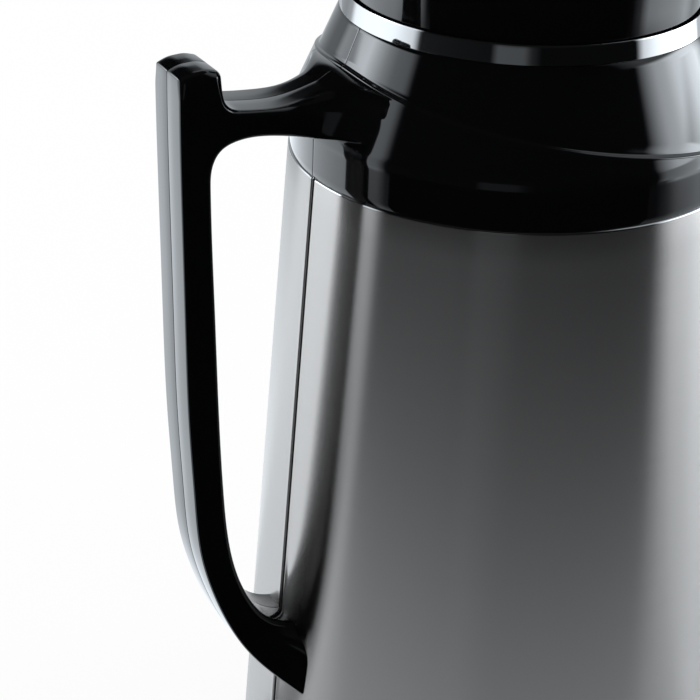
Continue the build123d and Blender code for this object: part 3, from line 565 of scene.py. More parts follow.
def into_wall(x, y, z):
    """A point inside the jug moved out to just inside the wall, and kept under the small step."""
    radius = math.hypot(x, y)
    if z > SKIRT_TOP:
        clear = max(0.0, radius - raised_radius(min(z, SADDLE_PEAK)))
        top = step_height(math.atan2(y, x)) - STEP_CLEAR
        if z < top:
            z += (top - z) * eased(clear, LIFT_REACH, 0.0) * eased(top - z, LIFT_FROM, LIFT_ALL)
        z = min(z, top + STEP_RISE * clear)
    wall = shell_radius(z) if z < SHELL_TOP[1] else min(SKIRT_RADIUS, raised_radius(z))
    least = wall - WALL_DEPTH
    if radius >= least:
        return x, y, z
    return x * least / radius, y * least / radius, z


# %% Strap handle
def strap_handle(line, steps=9):
    """The strap: a rounded rim on each side, flat sides, and the parting line in the middle."""
    turns = [math.radians(90.0 * k / steps) for k in range(steps + 1)]
    rounds = np.array([edge_round(r, z) for r, z in line])
    rings = [unlooped(r) for r in offset_rings(line, [rounds * (1 - math.cos(a)) for a in turns])]
    count = len(line)
    points, faces = [], []

    def strip_row(ring, share, insets, fine=0.0):
        """One closed row of points at a share of the half width, less an inset at each point."""
        start = len(points)
        for (r, z), inset in zip(ring, insets):
            points.append((-r, share * (strap_half(r, z) - inset) + fine, z))
        return range(start, start + count)

    def rim(side):
        return [strip_row(ring, side, rounds * (1 - math.sin(a))) for ring, a in zip(rings, turns)]

    near, far = rim(-1), rim(1)
    middle = [strip_row(line, -0.5, rounds)]
    for y in PARTING_COLUMNS:
        middle.append(strip_row(offset_rings(line, [parting(y)])[0], 0.0, rounds, y))
    middle.append(strip_row(line, 0.5, rounds))
    rows = near[::-1] + middle + far
    for low, high in zip(rows, rows[1:]):
        for k in range(count):
            n = (k + 1) % count
            faces.append((low[k], low[n], high[n], high[k]))
    flat, triangles, origins = side_face(rings[-1])
    for sign, ring in ((-1, rows[0]), (1, rows[-1])):
        index = []
        for (r, z), origin in zip(flat, origins):
            on_ring = bool(origin) and min(origin) < count
            index.append(ring[min(origin)] if on_ring else len(points))
            if not on_ring:
                points.append((-r, sign * strap_half(r, z), z))
        for triangle in triangles:
            corners = [index[i] for i in triangle]
            faces.append(corners if sign > 0 else corners[::-1])
    points = [into_wall(*p) for p in points]
    return mesh_piece("strap_handle", points, faces, "jug", "black_gloss", 60.0)


strap = strap_handle(strap_line)
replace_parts(strap, "shoulder")

# %% [markdown]
# ## Turned pieces: trim ring, base and feet
#
# These are plain turned parts, made as a lathe makes them: one closed outline of radius and
# height, with its corners rounded, is carried round the axis. Each is laid exactly on the
# measured solid that it stands for.

# %% Lathe
def turned(name, outline, body, slot, around=288):
    """A solid of revolution from a closed outline of (radius, height) points in millimetres."""
    points, rings = [], []
    for radius, height in outline:
        if radius < 1e-6:
            rings.append([len(points)] * around)
            points.append((0.0, 0.0, height))
            continue
        rings.append(range(len(points), len(points) + around))
        points += [at(2 * math.pi * k / around, radius, height) for k in range(around)]
    faces = []
    for low, high in zip(rings, rings[1:] + rings[:1]):
        for k in range(around):
            n = (k + 1) % around
            corners = list(dict.fromkeys((low[k], low[n], high[n], high[k])))
            if len(corners) > 2:
                faces.append(corners)
    return mesh_piece(name, points, faces, body, slot)


# %% Ring and base
ring_outline = [(54.0, 266.2, 0.1), (55.45, 266.2, 0.08), (54.28, 271.4, 0.2)]
ring_outline += [(54.15, 271.8, 0.08), (54.0, 271.8, 0.1)]
base_outline = [(44.0, 1.6, 0.3), (72.0, 1.6, 0.3), (80.56, 1.6, 1.2), (81.7, 2.8, 1.2)]
base_outline += [(81.7, 4.9, 0.3), (80.2, 4.9, 0.1), (80.2, 14.0, 0.3), (78.4, 14.0, 0.3)]
base_outline += [(78.4, 4.2, 0.3), (46.4, 4.2, 0.3), (46.4, 14.0, 0.3), (44.0, 14.0, 0.3)]
foot_outline = [(69.2, 0.8, 0.6), (70.0, 0.0, 0.6), (74.0, 0.0, 0.6), (74.8, 0.8, 0.6)]
foot_outline += [(74.8, 3.2, 0.2), (69.2, 3.2, 0.2)]
for name, outline, slot, around, solid in (
    ("trim_band", ring_outline, "chrome", 360, "trim_ring"),
    ("base_moulding", base_outline, "black_satin", 288, "base_ring"),
    ("rubber_foot", foot_outline, "rubber", 288, "foot_ring"),
):
    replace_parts(turned(name, soften(outline), "jug", slot, around), solid)

# %% [markdown]
# ## The stopper's lid
#
# The drum is turned, and then the pouring channel is cut out of its rim with a Boolean, which is
# how a plain turned part gets a notch. Beak, ears, nose and tab are flat outlines pushed through
# to a thickness, with their edges rounded by a bevel.

# %% Shapes pushed through
SHARP = math.radians(35.0)


def extruded(name, outline, low, high, place, body, slot, soft=0.5):
    """A closed flat outline pushed from low to high; low may depend on the first coordinate."""
    count = len(outline)
    below = [place(u, v, low(u) if callable(low) else low) for u, v in outline]
    points = below + [place(u, v, high) for u, v in outline]
    faces = [tuple(range(count)), tuple(range(count, 2 * count))]
    faces += [(k, (k + 1) % count, count + (k + 1) % count, count + k) for k in range(count)]
    piece = mesh_piece(name, points, faces, body, slot, math.degrees(SHARP))
    bevel = piece.modifiers.new("soft_edges", "BEVEL")
    bevel.width, bevel.segments = soft * MM, 3
    bevel.limit_method, bevel.angle_limit = "ANGLE", SHARP
    return piece


def carve(piece, cutter):
    """Cuts one shape out of another, keeps the result as the piece's own mesh."""
    change = piece.modifiers.new("carve", "BOOLEAN")
    change.object = cutter
    evaluated = piece.evaluated_get(bpy.context.evaluated_depsgraph_get())
    piece.data = bpy.data.meshes.new_from_object(evaluated)
    piece.modifiers.clear()
    piece.data.set_sharp_from_angle(angle=SHARP)


def arc(centre, radius, first, last, steps=14):
    """Points on an arc, angles in degrees."""
    turns = [math.radians(first + (last - first) * k / steps) for k in range(steps + 1)]
    return [(centre[0] + radius * math.cos(a), centre[1] + radius * math.sin(a)) for a in turns]


def upright(x, y, z):
    return x, y, z


def sideways(x, z, y):
    return x, y, z


# %% Drum and beak
LID_RADIUS, LID_FOOT, LID_RIM, LID_WALL = 53.2, 268.6, 297.0, 2.2
DECK_TOP, DECK_THICKNESS = 293.0, 2.2
LEDGE_WIDTH, LEDGE = 1.7, 1.6
inner_radius, ledge_top = LID_RADIUS - LID_WALL, DECK_TOP - DECK_THICKNESS
ledge_radius, ledge_low = inner_radius - LEDGE_WIDTH, ledge_top - LEDGE
drum_outline = [(LID_RADIUS, LID_FOOT, 0.4), (LID_RADIUS, LID_RIM, 0.4)]
drum_outline += [(inner_radius, LID_RIM, 0.4), (inner_radius, ledge_top, 0.1)]
drum_outline += [(ledge_radius, ledge_top, 0.2), (ledge_radius, ledge_low, 0.2)]
drum_outline += [(inner_radius, ledge_low, 0.2), (inner_radius, LID_FOOT, 0.3)]
drum = turned("lid_drum", soften(drum_outline), "stopper", "black_gloss")
LIP_ROUND, LIP_ANGLE = 4.0, 58.0
BEAK_REACH, BEAK_LOW, BEAK_SLOPE = 60.7, 291.7, 0.556


def nose_plan(reach, lip, root, half):
    """Plan of a beak: a wedge that ends in a round lip."""
    centre = reach - LIP_ROUND
    bend = arc((centre, 0.0), LIP_ROUND, -LIP_ANGLE, LIP_ANGLE)
    return [(root, -half), (centre, -lip)] + bend[1:-1] + [(centre, lip), (root, half)]


def beak_under(x):
    """Height of the beak's slanting underside."""
    return BEAK_LOW - BEAK_SLOPE * (BEAK_REACH - x)


def stopper_piece(name, outline, low, high, place=upright, soft=0.4):
    return extruded(name, outline, low, high, place, "stopper", "black_gloss", soft)


beak_plan = nose_plan(BEAK_REACH, 3.5, 51.6, 8.6)
beak = stopper_piece("pouring_beak", beak_plan, beak_under, LID_RIM, soft=0.6)
channel = stopper_piece("channel", nose_plan(58.5, 2.4, 47.2, 10.8), DECK_TOP + 0.2, 302.0)
for piece in (drum, beak):
    carve(piece, channel)
    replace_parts(piece, "lid_housing")
bpy.data.objects.remove(channel)

# %% Hinge ears
HINGE_X, HINGE_Z, KNUCKLE = -57.0, 299.2, 3.4
EAR_INSIDE, EAR_OUTSIDE = 8.8, 11.7
ear_side = [(-52.1, 286.0), (-52.1, 296.8), (-53.6, 296.8)]
ear_side += arc((HINGE_X, HINGE_Z), KNUCKLE, 0.0, 220.0) + [(-53.2, 286.0)]
for name, low, high in (
    ("ear_near", -EAR_OUTSIDE, -EAR_INSIDE),
    ("ear_far", EAR_INSIDE, EAR_OUTSIDE),
):
    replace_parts(stopper_piece(name, ear_side, low, high, sideways), "lid_housing")

# %% [markdown]
# ## The flip cover
#
# The cover is a thin dome with a nose that closes the channel. Two knuckles on it sit between
# the ears on the hinge's pin, and a tab behind them is what the thumb presses to lift it.

# %% Dome and nose
COVER_LOW, COVER_EDGE, COVER_TOP, COVER_WALL = 297.3, 301.8, 310.3, 2.0
cover_inside = LID_RADIUS - COVER_WALL


def crown(radius, top):
    """The dome of the cover, from its edge to the axis."""
    rise = top - COVER_EDGE
    bend = [(radius, COVER_EDGE), (0.8 * radius, COVER_EDGE + 0.7 * rise), (0.0, top)]
    return smooth_line(bend, (0, 1), (-1, 0), 1.5)


def cover_piece(name, outline, low, high, place, soft=0.3):
    return extruded(name, outline, low, high, place, "cover", "black_gloss", soft)


rim = [(cover_inside, COVER_LOW), (LID_RADIUS, COVER_LOW, 0.4), (LID_RADIUS, 300.0)]
cover_outline = soften(rim, closed=False)[1:] + crown(LID_RADIUS, COVER_TOP)
cover_outline += crown(cover_inside, COVER_TOP - COVER_WALL)[::-1] + [(cover_inside, COVER_LOW)]
cover_parts = [turned("cover_dome", cover_outline, "cover", "black_gloss")]
nose = nose_plan(60.1, 3.2, 52.2, 7.2)
cover_parts.append(cover_piece("cover_nose", nose, COVER_LOW, 300.5, upright, 0.5))

# %% Knuckles and thumb tab
TAB_ANGLE = math.radians(20.0)
KNUCKLE_WIDTH, TAB_HALF, TAB_ARM_HALF, TAB_ARM_WIDTH = 3.2, 1.6, 1.4, 3.0


def on_tab(out, y, up):
    """A point of the tab, given outwards from the hinge, across, and above its middle plane."""
    x = HINGE_X - out * math.cos(TAB_ANGLE) + up * math.sin(TAB_ANGLE)
    return x, y, HINGE_Z + out * math.sin(TAB_ANGLE) + up * math.cos(TAB_ANGLE)


web = [(-51.4, 297.7), (-51.4, 302.2)] + arc((HINGE_X, HINGE_Z), KNUCKLE, 90.0, 333.0, 20)
for name, low in (("knuckle_near", -8.5), ("knuckle_far", 5.3)):
    cover_parts.append(cover_piece(name, web, low, low + KNUCKLE_WIDTH, sideways))
plate = soften([(4.4, -11.0, 3.0), (18.4, -11.0, 3.0), (18.4, 11.0, 3.0), (4.4, 11.0, 3.0)], 8)
cover_parts.append(cover_piece("thumb_tab", plate, -TAB_HALF, TAB_HALF, on_tab, 0.9))
for name, low in (("tab_arm_near", -8.4), ("tab_arm_far", 5.4)):
    high = low + TAB_ARM_WIDTH
    arm = [(1.5, low), (6.0, low), (6.0, high), (1.5, high)]
    cover_parts.append(cover_piece(name, arm, -TAB_ARM_HALF, TAB_ARM_HALF, on_tab))
for piece in cover_parts:
    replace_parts(piece, "flip_cover")

# %% [markdown]
# ## Finishes
#
# Each finish is a small tree of nodes on one Principled shader. Patterns come from noise that is
# laid out in the object's own space, so they stay at the right scale. Values that are the same
# everywhere are set on the shader's sockets.

# %% Finish helpers
def new_finish(name, **sockets):
    """A material with one Principled shader; the named sockets get plain values."""
    material = bpy.data.materials.new(name)
    material.use_nodes = True
    shader = material.node_tree.nodes["Principled BSDF"]
    for socket, value in sockets.items():
        shader.inputs[socket.replace("_", " ")].default_value = value
    return material, material.node_tree, shader


def plug(tree, socket, value):
    """Gives a socket a link or a plain value."""
    if isinstance(value, bpy.types.NodeSocket):
        tree.links.new(value, socket)
    elif value is not None:
        socket.default_value = value


def node(tree, kind, values=(), **properties):
    """A node with some properties, and with plain values or links for its first inputs."""
    made = tree.nodes.new(kind)
    for key, value in properties.items():
        setattr(made, key, value)
    for socket, value in zip(made.inputs, values):
        plug(tree, socket, value)
    return made


def sum_of(tree, operation, *values):
    """The result of one line of arithmetic, such as ADD or MULTIPLY."""
    return node(tree, "ShaderNodeMath", values, operation=operation).outputs[0]


def noise(tree, vector, scale, detail=3.0, roughness=0.5):
    """A noise value between 0 and 1 at points given by a vector socket."""
    made = node(tree, "ShaderNodeTexNoise")
    values = {"Vector": vector, "Scale": scale, "Detail": detail, "Roughness": roughness}
    for name, value in values.items():
        plug(tree, made.inputs[name], value)
    return made.outputs["Fac"]


def ramp(tree, value, low, high, start=0.0, end=1.0, way="LINEAR"):
    """A value carried from the range start..end into low..high."""
    values = (value, start, end, low, high)
    return node(tree, "ShaderNodeMapRange", values, interpolation_type=way).outputs["Result"]


def mixed(tree, share, first, second):
    """The first colour where the share is 0, the second where it is 1, and between them else."""
    made = node(tree, "ShaderNodeMix", data_type="RGBA")
    for name, value in (("Factor", share), ("A", first), ("B", second)):
        plug(tree, made.inputs[name], value)
    return made.outputs["Result"]


def tint(tree, value, dark, light):
    """A colour between two others."""
    return mixed(tree, value, (*dark, 1.0), (*light, 1.0))


def bump(tree, shader, height, distance, strength=1.0):
    """Relief as deep as a distance in metres."""
    made = node(tree, "ShaderNodeBump")
    for name, value in (("Strength", strength), ("Distance", distance), ("Height", height)):
        plug(tree, made.inputs[name], value)
    plug(tree, shader.inputs["Normal"], made.outputs["Normal"])


def own_space(tree):
    return node(tree, "ShaderNodeTexCoord").outputs["Object"]


def compass(tree):
    """Direction from the axis as 0 to 1, once round from +X, and the distance in metres."""
    x, y, height = node(tree, "ShaderNodeSeparateXYZ", (own_space(tree),)).outputs
    turns = sum_of(tree, "DIVIDE", sum_of(tree, "ARCTAN2", y, x), 2 * math.pi)
    flat = node(tree, "ShaderNodeCombineXYZ", (x, y, 0.0))
    away = node(tree, "ShaderNodeVectorMath", (flat.outputs[0],), operation="LENGTH")
    return sum_of(tree, "WRAP", turns, 1.0, 0.0), away.outputs["Value"], height


# %% [markdown]
# ## Brushed steel
#
# The steel was brushed while it turned, so fine scratches run round it. They blur a reflection
# up and down but leave it fairly sharp from side to side: that is anisotropy, with the tangent
# running round the axis. The scratches themselves are noise that is stretched along the angle.
# The floor of the folded seam gets painted shade: its colour is made nearly black, because little
# light gets into it.

# %% Brushed steel
SCRATCHES_ROUND, SCRATCHES_UP, BANDS_UP = 2.5, 5000.0, 900.0
FOLD_EDGE = 0.08


def brushed_steel():
    material, tree, shader = new_finish(
        "brushed_steel", Metallic=1.0, Anisotropic=1.0, Anisotropic_Rotation=0.25
    )
    x, y, z = node(tree, "ShaderNodeSeparateXYZ", (own_space(tree),)).outputs
    round_it = sum_of(tree, "MULTIPLY", sum_of(tree, "ARCTAN2", y, x), SCRATCHES_ROUND)
    fine = (round_it, sum_of(tree, "MULTIPLY", z, SCRATCHES_UP), 0.0)
    wide = (round_it, sum_of(tree, "MULTIPLY", z, BANDS_UP), 3.0)
    fine, wide = (node(tree, "ShaderNodeCombineXYZ", v).outputs[0] for v in (fine, wide))
    scratches, bands = noise(tree, fine, 1.0, 4.0, 0.65), noise(tree, wide, 1.0, 3.0)
    both = sum_of(tree, "ADD", scratches, bands)
    share = ramp(tree, both, 0.0, 1.0, 0.6, 1.4)
    colour = tint(tree, share, (0.515, 0.491, 0.474), (0.54, 0.516, 0.498))
    # Painted shade: the colour goes nearly black on the floor of the seam behind the handle.
    beside = sum_of(tree, "ABSOLUTE", sum_of(tree, "SUBTRACT", y, SEAM_Y * MM))
    folded = ramp(tree, beside, 1.0, 0.0, FOLD_HALF * MM, (FOLD_HALF + FOLD_EDGE) * MM)
    fold_painted_shade = sum_of(tree, "MULTIPLY", folded, sum_of(tree, "LESS_THAN", x, 0.0))
    shaded = mixed(tree, fold_painted_shade, colour, (0.03, 0.03, 0.032, 1.0))
    plug(tree, shader.inputs["Base Color"], shaded)
    plug(tree, shader.inputs["Roughness"], ramp(tree, both, 0.255, 0.272, 0.6, 1.4))
    tangent = node(tree, "ShaderNodeTangent", direction_type="RADIAL", axis="Z")
    plug(tree, shader.inputs["Tangent"], tangent.outputs[0])
    bump(tree, shader, scratches, 0.000001, 0.1)
    return material


finishes = {"steel": brushed_steel()}
print("scratches:", SCRATCHES_UP * MM, "to the millimetre, bands:", BANDS_UP * MM)

# %% [markdown]
# ## Black mouldings
#
# The other finishes differ in their numbers only: noise moves the colour between two shades,
# the same or a finer noise moves the roughness, and a third may raise the surface a little. The
# shoulder is polished black with a clear gloss on it, and the base and the inner parts are
# satin, as they come out of a spark-eroded mould.

# %% Black mouldings
def patterned(name, colours, clouds, roughness, grain=None, ripple=None, relief=None, **sockets):
    """A finish from noise, given as (scale, detail, roughness); relief is (distance, strength)."""
    material, tree, shader = new_finish(name, **sockets)
    space = own_space(tree)
    shades = noise(tree, space, *clouds)
    fine = noise(tree, space, *grain) if grain else shades
    plug(tree, shader.inputs["Base Color"], tint(tree, shades, *colours))
    plug(tree, shader.inputs["Roughness"], ramp(tree, fine, *roughness))
    if relief:
        bump(tree, shader, noise(tree, space, *ripple) if ripple else fine, *relief)
    return material


BLACKS = ((0.0014, 0.0015, 0.0018), (0.0024, 0.0025, 0.0029))
SATIN_BLACKS = ((0.012, 0.012, 0.013), (0.02, 0.02, 0.021))
finishes["black_gloss"] = patterned(
    "gloss_black", BLACKS, (30.0, 2.0), (0.05, 0.09), ripple=(160.0, 2.0), relief=(0.00002, 0.08),
    IOR=1.5, Coat_Weight=1.0, Coat_IOR=1.5, Coat_Roughness=0.02,
)
finishes["black_satin"] = patterned(
    "satin_black", SATIN_BLACKS, (60.0,), (0.3, 0.42), grain=(1800.0, 2.0), relief=(0.00003, 0.3),
    IOR=1.49,
)
print("finishes so far:", ", ".join(finishes))

# %% [markdown]
# ## Bright metals
#
# The ring is polished chrome that has been wiped, so its roughness changes slowly. Screws and
# the anchor plate are zinc, which dries with a fine frost.

# %% Chrome and zinc
CHROMES = ((0.76, 0.765, 0.77), (0.82, 0.825, 0.83))
ZINCS = ((0.5, 0.5, 0.48), (0.66, 0.66, 0.65))
finishes["chrome"] = patterned("polished_chrome", CHROMES, (90.0,), (0.025, 0.07), Metallic=1.0)
finishes["zinc"] = patterned("zinc_plate", ZINCS, (700.0, 4.0), (0.22, 0.4), Metallic=1.0)
print("finishes so far:", ", ".join(finishes))

# %% [markdown]
# ## Rubber and silicone
#
# Moulded rubber is dull and a little grainy. The seals are pale silicone, into which light
# sinks a short way, and that is subsurface scattering.

# %% Rubber and silicone
RUBBERS = ((0.02, 0.02, 0.02), (0.035, 0.034, 0.033))
SILICONES = ((0.66, 0.66, 0.63), (0.74, 0.74, 0.72))
finishes["rubber"] = patterned(
    "moulded_rubber", RUBBERS, (80.0,), (0.55, 0.8), grain=(1200.0,), relief=(0.00006, 0.4),
    IOR=1.5,
)
finishes["silicone"] = patterned(
    "pale_silicone", SILICONES, (250.0, 2.0), (0.35, 0.5),
    IOR=1.41, Subsurface_Weight=0.25, Subsurface_Scale=0.002,
)
print("finishes so far:", ", ".join(finishes))

# %% [markdown]
# ## Silvered glass, pads and foam
#
# The glass is silvered inside its vacuum gap, so it is a metal under a clear coat. The pads
# between the glass walls are pressed ceramic paper, and the stopper is filled with foam; both
# are matt, with a relief deep enough to feel.

# %% Silvered glass, pads and foam
SILVERS = ((0.78, 0.79, 0.79), (0.88, 0.89, 0.9))
finishes["silvered_glass"] = patterned(
    "silvered_glass", SILVERS, (45.0, 4.0), (0.06, 0.16),
    Metallic=0.92, Coat_Weight=1.0, Coat_Roughness=0.02, Coat_IOR=1.5,
)
PAPERS = ((0.66, 0.64, 0.58), (0.78, 0.76, 0.71))
FOAMS = ((0.78, 0.76, 0.67), (0.88, 0.86, 0.79))
for slot, name, colours in (("pad", "ceramic_paper", PAPERS), ("foam", "closed_cell_foam", FOAMS)):
    finishes[slot] = patterned(
        name, colours, (900.0, 5.0, 0.7), (0.8, 0.95), relief=(0.0002, 0.5), IOR=1.4
    )
print("finishes:", ", ".join(finishes))

# %% [markdown]
# ## Every solid gets its finish
#
# The record of the frame says which finish each solid has. Solids that nothing stands for stay
# visible, with smooth shading added by a modifier, so that their stored mesh isn't touched.

# %% Finishes on the solids and the skins
def shade_by_angle():
    """A modifier that rounds the shading of a mesh, except over sharp edges."""
    group = bpy.data.node_groups.new("shade_by_angle", "GeometryNodeTree")
    for way in ("INPUT", "OUTPUT"):
        group.interface.new_socket("Geometry", in_out=way, socket_type="NodeSocketGeometry")
    start, end = node(group, "NodeGroupInput"), node(group, "NodeGroupOutput")
    bend = node(group, "GeometryNodeInputMeshEdgeAngle").outputs[0]
    gentle = node(group, "FunctionNodeCompare", (bend, SHARP), operation="LESS_THAN").outputs[0]
    faces = node(group, "GeometryNodeSetShadeSmooth", (start.outputs[0],), domain="FACE")
    edges = node(group, "GeometryNodeSetShadeSmooth", (faces.outputs[0],), domain="EDGE")
    group.links.new(gentle, edges.inputs["Shade Smooth"])
    group.links.new(edges.outputs[0], end.inputs[0])
    return group


def coat(piece, finish):
    piece.data.materials.clear()
    piece.data.materials.append(finishes[finish])


by_angle = shade_by_angle()
for part in frame["record"]["subparts"]:
    solid = frame["nodes"][part["node"]]
    coat(solid, part["material_slot"])
    solid.modifiers.new("shade_by_angle", "NODES").node_group = by_angle
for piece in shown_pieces():
    if "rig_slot" in piece:
        coat(piece, piece["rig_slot"])

body_skin.data.materials.append(finishes["chrome"])
bright_from = (SHELL_TOP[1] - SHELL_EDGE - 0.01) * MM
for face in body_skin.data.polygons:
    if min(body_skin.data.vertices[i].co.z for i in face.vertices) > bright_from:
        face.material_index = 1

# %% [markdown]
# ## Floor
#
# The carafe stands on a white table that runs on as a white ground. To the eye the ground is
# nearly its own light, so that it stays white, with a share of plain diffuse white in it that
# keeps the shadow under the carafe.

# %% Floor
def band(name, near, far, material, first=0.0, last=360.0, columns=96):
    """A studio piece round the axis, or a part of one, between two (radius, height) in metres."""
    points, faces = [], []
    for k in range(columns + 1):
        angle = math.radians(first + (last - first) * k / columns)
        points += [at(angle, *near), at(angle, *far)]
        if k < columns:
            faces.append((2 * k, 2 * k + 1, 2 * k + 3, 2 * k + 2))
    mesh = bpy.data.meshes.new(name)
    mesh.from_pydata(points, [], faces)
    mesh.materials.append(material)
    made = bpy.data.objects.new(name, mesh)
    bpy.context.scene.collection.objects.link(made)
    return made


TABLE_EDGE, GROUND_FROM, GROUND_GLOW = 0.3, 1.6, 1.015


def white_ground():
    """Pale floor, white to the eye and to glass, with the carafe's shadow kept."""
    material, tree, shader = new_finish("white_ground", Roughness=0.7)
    shader.inputs["Base Color"].default_value = (0.86, 0.86, 0.855, 1.0)
    glow = node(tree, "ShaderNodeEmission", ((1.0, 1.0, 1.0, 1.0), GROUND_GLOW))
    rays = node(tree, "ShaderNodeLightPath").outputs
    seen = sum_of(tree, "MAXIMUM", rays["Is Camera Ray"], rays["Is Transmission Ray"])
    white = ramp(tree, compass(tree)[1], 0.88, 1.0, TABLE_EDGE, GROUND_FROM)
    mix = node(tree, "ShaderNodeMixShader", (sum_of(tree, "MULTIPLY", seen, white),))
    tree.links.new(shader.outputs[0], mix.inputs[1])
    tree.links.new(glow.outputs[0], mix.inputs[2])
    tree.links.new(mix.outputs[0], tree.nodes["Material Output"].inputs["Surface"])
    return material


ground = band("ground", (0.0, 0.0), (4.0, 0.0), white_ground())
print("ground reaches", ground.dimensions.x / 2, "m")

# %% [markdown]
# ## What the gloss reflects
#
# Black gloss and brushed metal show what stands round them more than what lights them. Product
# tables are therefore ringed with cards: bright ones at both sides, which draw the light lines
# on the black, and dark ones in front, which give the steel its dark middle. Here a sheet on
# the ground and a standing wall carry them all. Each is seen only in reflections, and its glow
# depends on the direction from the axis, given as stops of (degrees, glow).

# %% Glow by direction
GLOW_SCALE = 5.0
CARD_COLOUR = (0.93, 1.0, 1.06)


def glow_round(tree, share, stops):
    """A glow that follows stops of (degrees, glow) round the axis."""
    made = node(tree, "ShaderNodeValToRGB", (share,))
    ramp_stops = made.color_ramp.elements
    while len(ramp_stops) < len(stops):
        ramp_stops.new(0.5)
    for stop, (degrees, glow) in zip(ramp_stops, stops):
        stop.position = degrees / 360.0
        stop.color = (*(glow / GLOW_SCALE * part for part in CARD_COLOUR), 1.0)
    return made.outputs["Color"]


def blend_by(tree, value, start, end, first, second):
    """First up to start, second from end on, with a smooth change between."""
    return mixed(tree, ramp(tree, value, 0.0, 1.0, start, end, "SMOOTHSTEP"), first, second)


def glowing(name, way, zones, first_change, second_change):
    """A card's glow in three zones, each with its own stops, one after another in a way.

    The way is outwards along the ground or upwards; a change is (start, end) in metres.
    """
    material, tree, shader = new_finish(name)
    tree.nodes.remove(shader)
    share, away, height = compass(tree)
    place = {"outwards": away, "upwards": height}[way]
    near, middle, far = (glow_round(tree, share, stops) for stops in zones)
    colour = blend_by(tree, place, *first_change, near, middle)
    colour = blend_by(tree, place, *second_change, colour, far)
    glow = node(tree, "ShaderNodeEmission", (colour, GLOW_SCALE))
    tree.links.new(glow.outputs[0], tree.nodes["Material Output"].inputs["Surface"])
    return material


def card(name, near, far, material, first=0.0, last=360.0):
    """A studio piece that reflections show, and nothing else does."""
    made = band(name, near, far, material, first, last)
    for kind in ("camera", "diffuse", "shadow", "transmission", "volume_scatter"):
        setattr(made, "visible_" + kind, False)
    return made


# %% Sheet on the ground
close_by = [(0, 0.75), (11, 0.75), (60, 1.2), (104, 1.5), (114, 1.05), (148, 1.0), (154, 0.9)]
close_by += [(158, 0.12), (167, 0.12), (171, 0.75), (176, 0.6), (190, 0.53), (228, 0.46)]
close_by += [(240, 0.41), (312, 0.38), (322, 0.44), (330, 0.56), (344, 0.56), (352, 0.66)]
close_by += [(360, 0.75)]
half_way = [(0, 0.6), (11, 0.55), (60, 1.1), (100, 1.3), (150, 1.1), (158, 0.42), (171, 0.4)]
half_way += [(176, 0.085), (214, 0.075), (240, 0.03), (311, 0.015), (318, 0.12), (325, 0.42)]
half_way += [(338, 0.62), (360, 0.6)]
far_off = [(0, 1.3), (11, 0.6), (60, 0.5), (100, 0.6), (108, 0.75), (116, 1.2), (150, 1.4)]
far_off += [(160, 1.1), (171, 0.9), (176, 0.012), (250, 0.006), (309, 0.006), (315, 0.2)]
far_off += [(322, 1.4), (335, 1.45), (350, 1.3), (360, 1.3)]

ground_zones = (close_by, half_way, far_off)
sheet_glow = glowing("reflected_sheet", "outwards", ground_zones, (0.15, 0.5), (0.58, 0.85))
SHEET_HEIGHT = 0.002
SHEET_EDGES = (0.084, SHEET_HEIGHT), (1.1, SHEET_HEIGHT)
FRONT_START, FRONT_END = 178.0, 306.0
card("sheet_round", *SHEET_EDGES, sheet_glow, FRONT_END - 360.0, FRONT_START)
front_sheet = card("sheet_front", *SHEET_EDGES, sheet_glow, FRONT_START, FRONT_END)
steel_only = bpy.data.collections.new("lit_by_front_sheet")
steel_only.objects.link(body_skin)
front_sheet.light_linking.receiver_collection = steel_only
print("sheet: three zones of", [len(stops) for stops in ground_zones], "stops")

# %% Standing wall
at_table = [(0, 4.0), (11, 0.6), (60, 0.5), (100, 0.3), (110, 0.4), (116, 1.15), (128, 1.3)]
at_table += [(144, 1.3), (157, 1.2), (171, 0.8), (176, 0.012), (200, 0.008), (221, 0.006)]
at_table += [(225, 0.075), (240, 0.07), (244, 0.02), (250, 0.003), (310, 0.003), (315, 0.8)]
at_table += [(321, 1.1), (334, 1.6), (342, 3.0), (350, 4.2), (360, 4.2)]
at_neck = [(0, 4.0), (11, 0.6), (60, 0.5), (104, 0.3), (112, 0.4), (116, 1.1), (125, 2.2)]
at_neck += [(133, 3.4), (141, 4.4), (148, 3.1), (155, 1.85), (162, 1.1), (171, 0.9), (176, 0.006)]
at_neck += [(310, 0.006), (316.5, 1.5), (323, 2.9), (330, 3.3), (338, 4.6), (346, 4.9), (355, 4.6)]
at_neck += [(360, 4.0)]
overhead = [(0, 0.4), (20, 0.45), (64, 0.5), (76, 0.03), (84, 0.004), (300, 0.004), (320, 0.4)]
overhead += [(360, 0.4)]

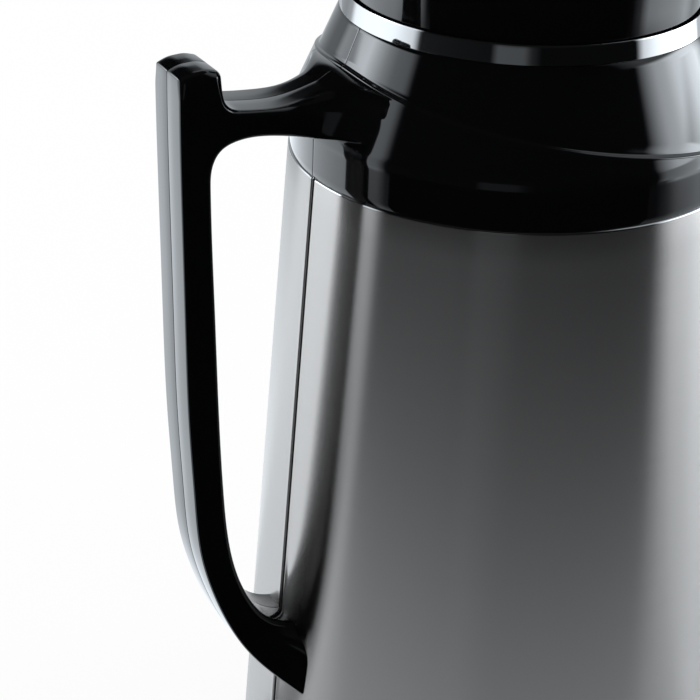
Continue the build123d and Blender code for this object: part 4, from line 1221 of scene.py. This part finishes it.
wall_zones = (at_table, at_neck, overhead)
wall_glow = glowing("reflected_wall", "upwards", wall_zones, (0.38, 0.43), (0.62, 0.8))
WALL_RADIUS, WALL_TOP = 1.1, 2.4
card("reflected_wall", (WALL_RADIUS, WALL_TOP), (WALL_RADIUS, 0.0), wall_glow)
print("wall:", WALL_RADIUS, "m from the axis,", WALL_TOP, "m tall")

# %% [markdown]
# ## Lamps and sky
#
# The lamps give the plain light that matt surfaces need, from both sides and from above. They
# are hidden from reflections, because the cards already stand for them there. The sky is white
# to the eye, weaker as a light, and nearly dark to reflections.

# %% Lamps and sky
def soft_box(name, azimuth, distance, height, width, tall, radiance):
    """A rectangular lamp that faces the carafe; its power follows from how bright it looks."""
    lamp = bpy.data.lights.new(name, "AREA")
    lamp.shape = "RECTANGLE"
    lamp.size, lamp.size_y = width, tall
    lamp.energy = radiance * math.pi * width * tall
    made = bpy.data.objects.new(name, lamp)
    made.location = at(math.radians(azimuth), distance, height)
    aim = Vector((0.0, 0.0, 0.2)) - made.location
    made.rotation_mode = "QUATERNION"
    made.rotation_quaternion = aim.to_track_quat("-Z", "Y")
    made.visible_glossy = False
    bpy.context.scene.collection.objects.link(made)
    print(f"{name}: {lamp.energy:.1f} W")


soft_box("left_box", 150.0, 1.3, 0.62, 0.7, 0.8, 3.0)
soft_box("right_box", -8.0, 1.3, 0.62, 0.5, 0.8, 3.0)
soft_box("top_box", 90.0, 0.7, 1.7, 1.2, 1.2, 1.2)

SKY_LIGHT, SKY_TO_EYE, SKY_IN_GLOSS = 0.6, 1.0, 0.02
world = bpy.data.worlds.new("studio")
world.use_nodes = True
sky = world.node_tree
rays = node(sky, "ShaderNodeLightPath").outputs
strength = sum_of(sky, "MULTIPLY_ADD", rays["Is Camera Ray"], SKY_TO_EYE - SKY_LIGHT, SKY_LIGHT)
strength = sum_of(sky, "MULTIPLY_ADD", rays["Is Glossy Ray"], SKY_IN_GLOSS - SKY_LIGHT, strength)
sky.nodes["Background"].inputs["Color"].default_value = (1.0, 1.0, 1.0, 1.0)
sky.links.new(strength, sky.nodes["Background"].inputs["Strength"])
bpy.context.scene.world = world
bpy.context.scene.view_settings.view_transform = "Standard"
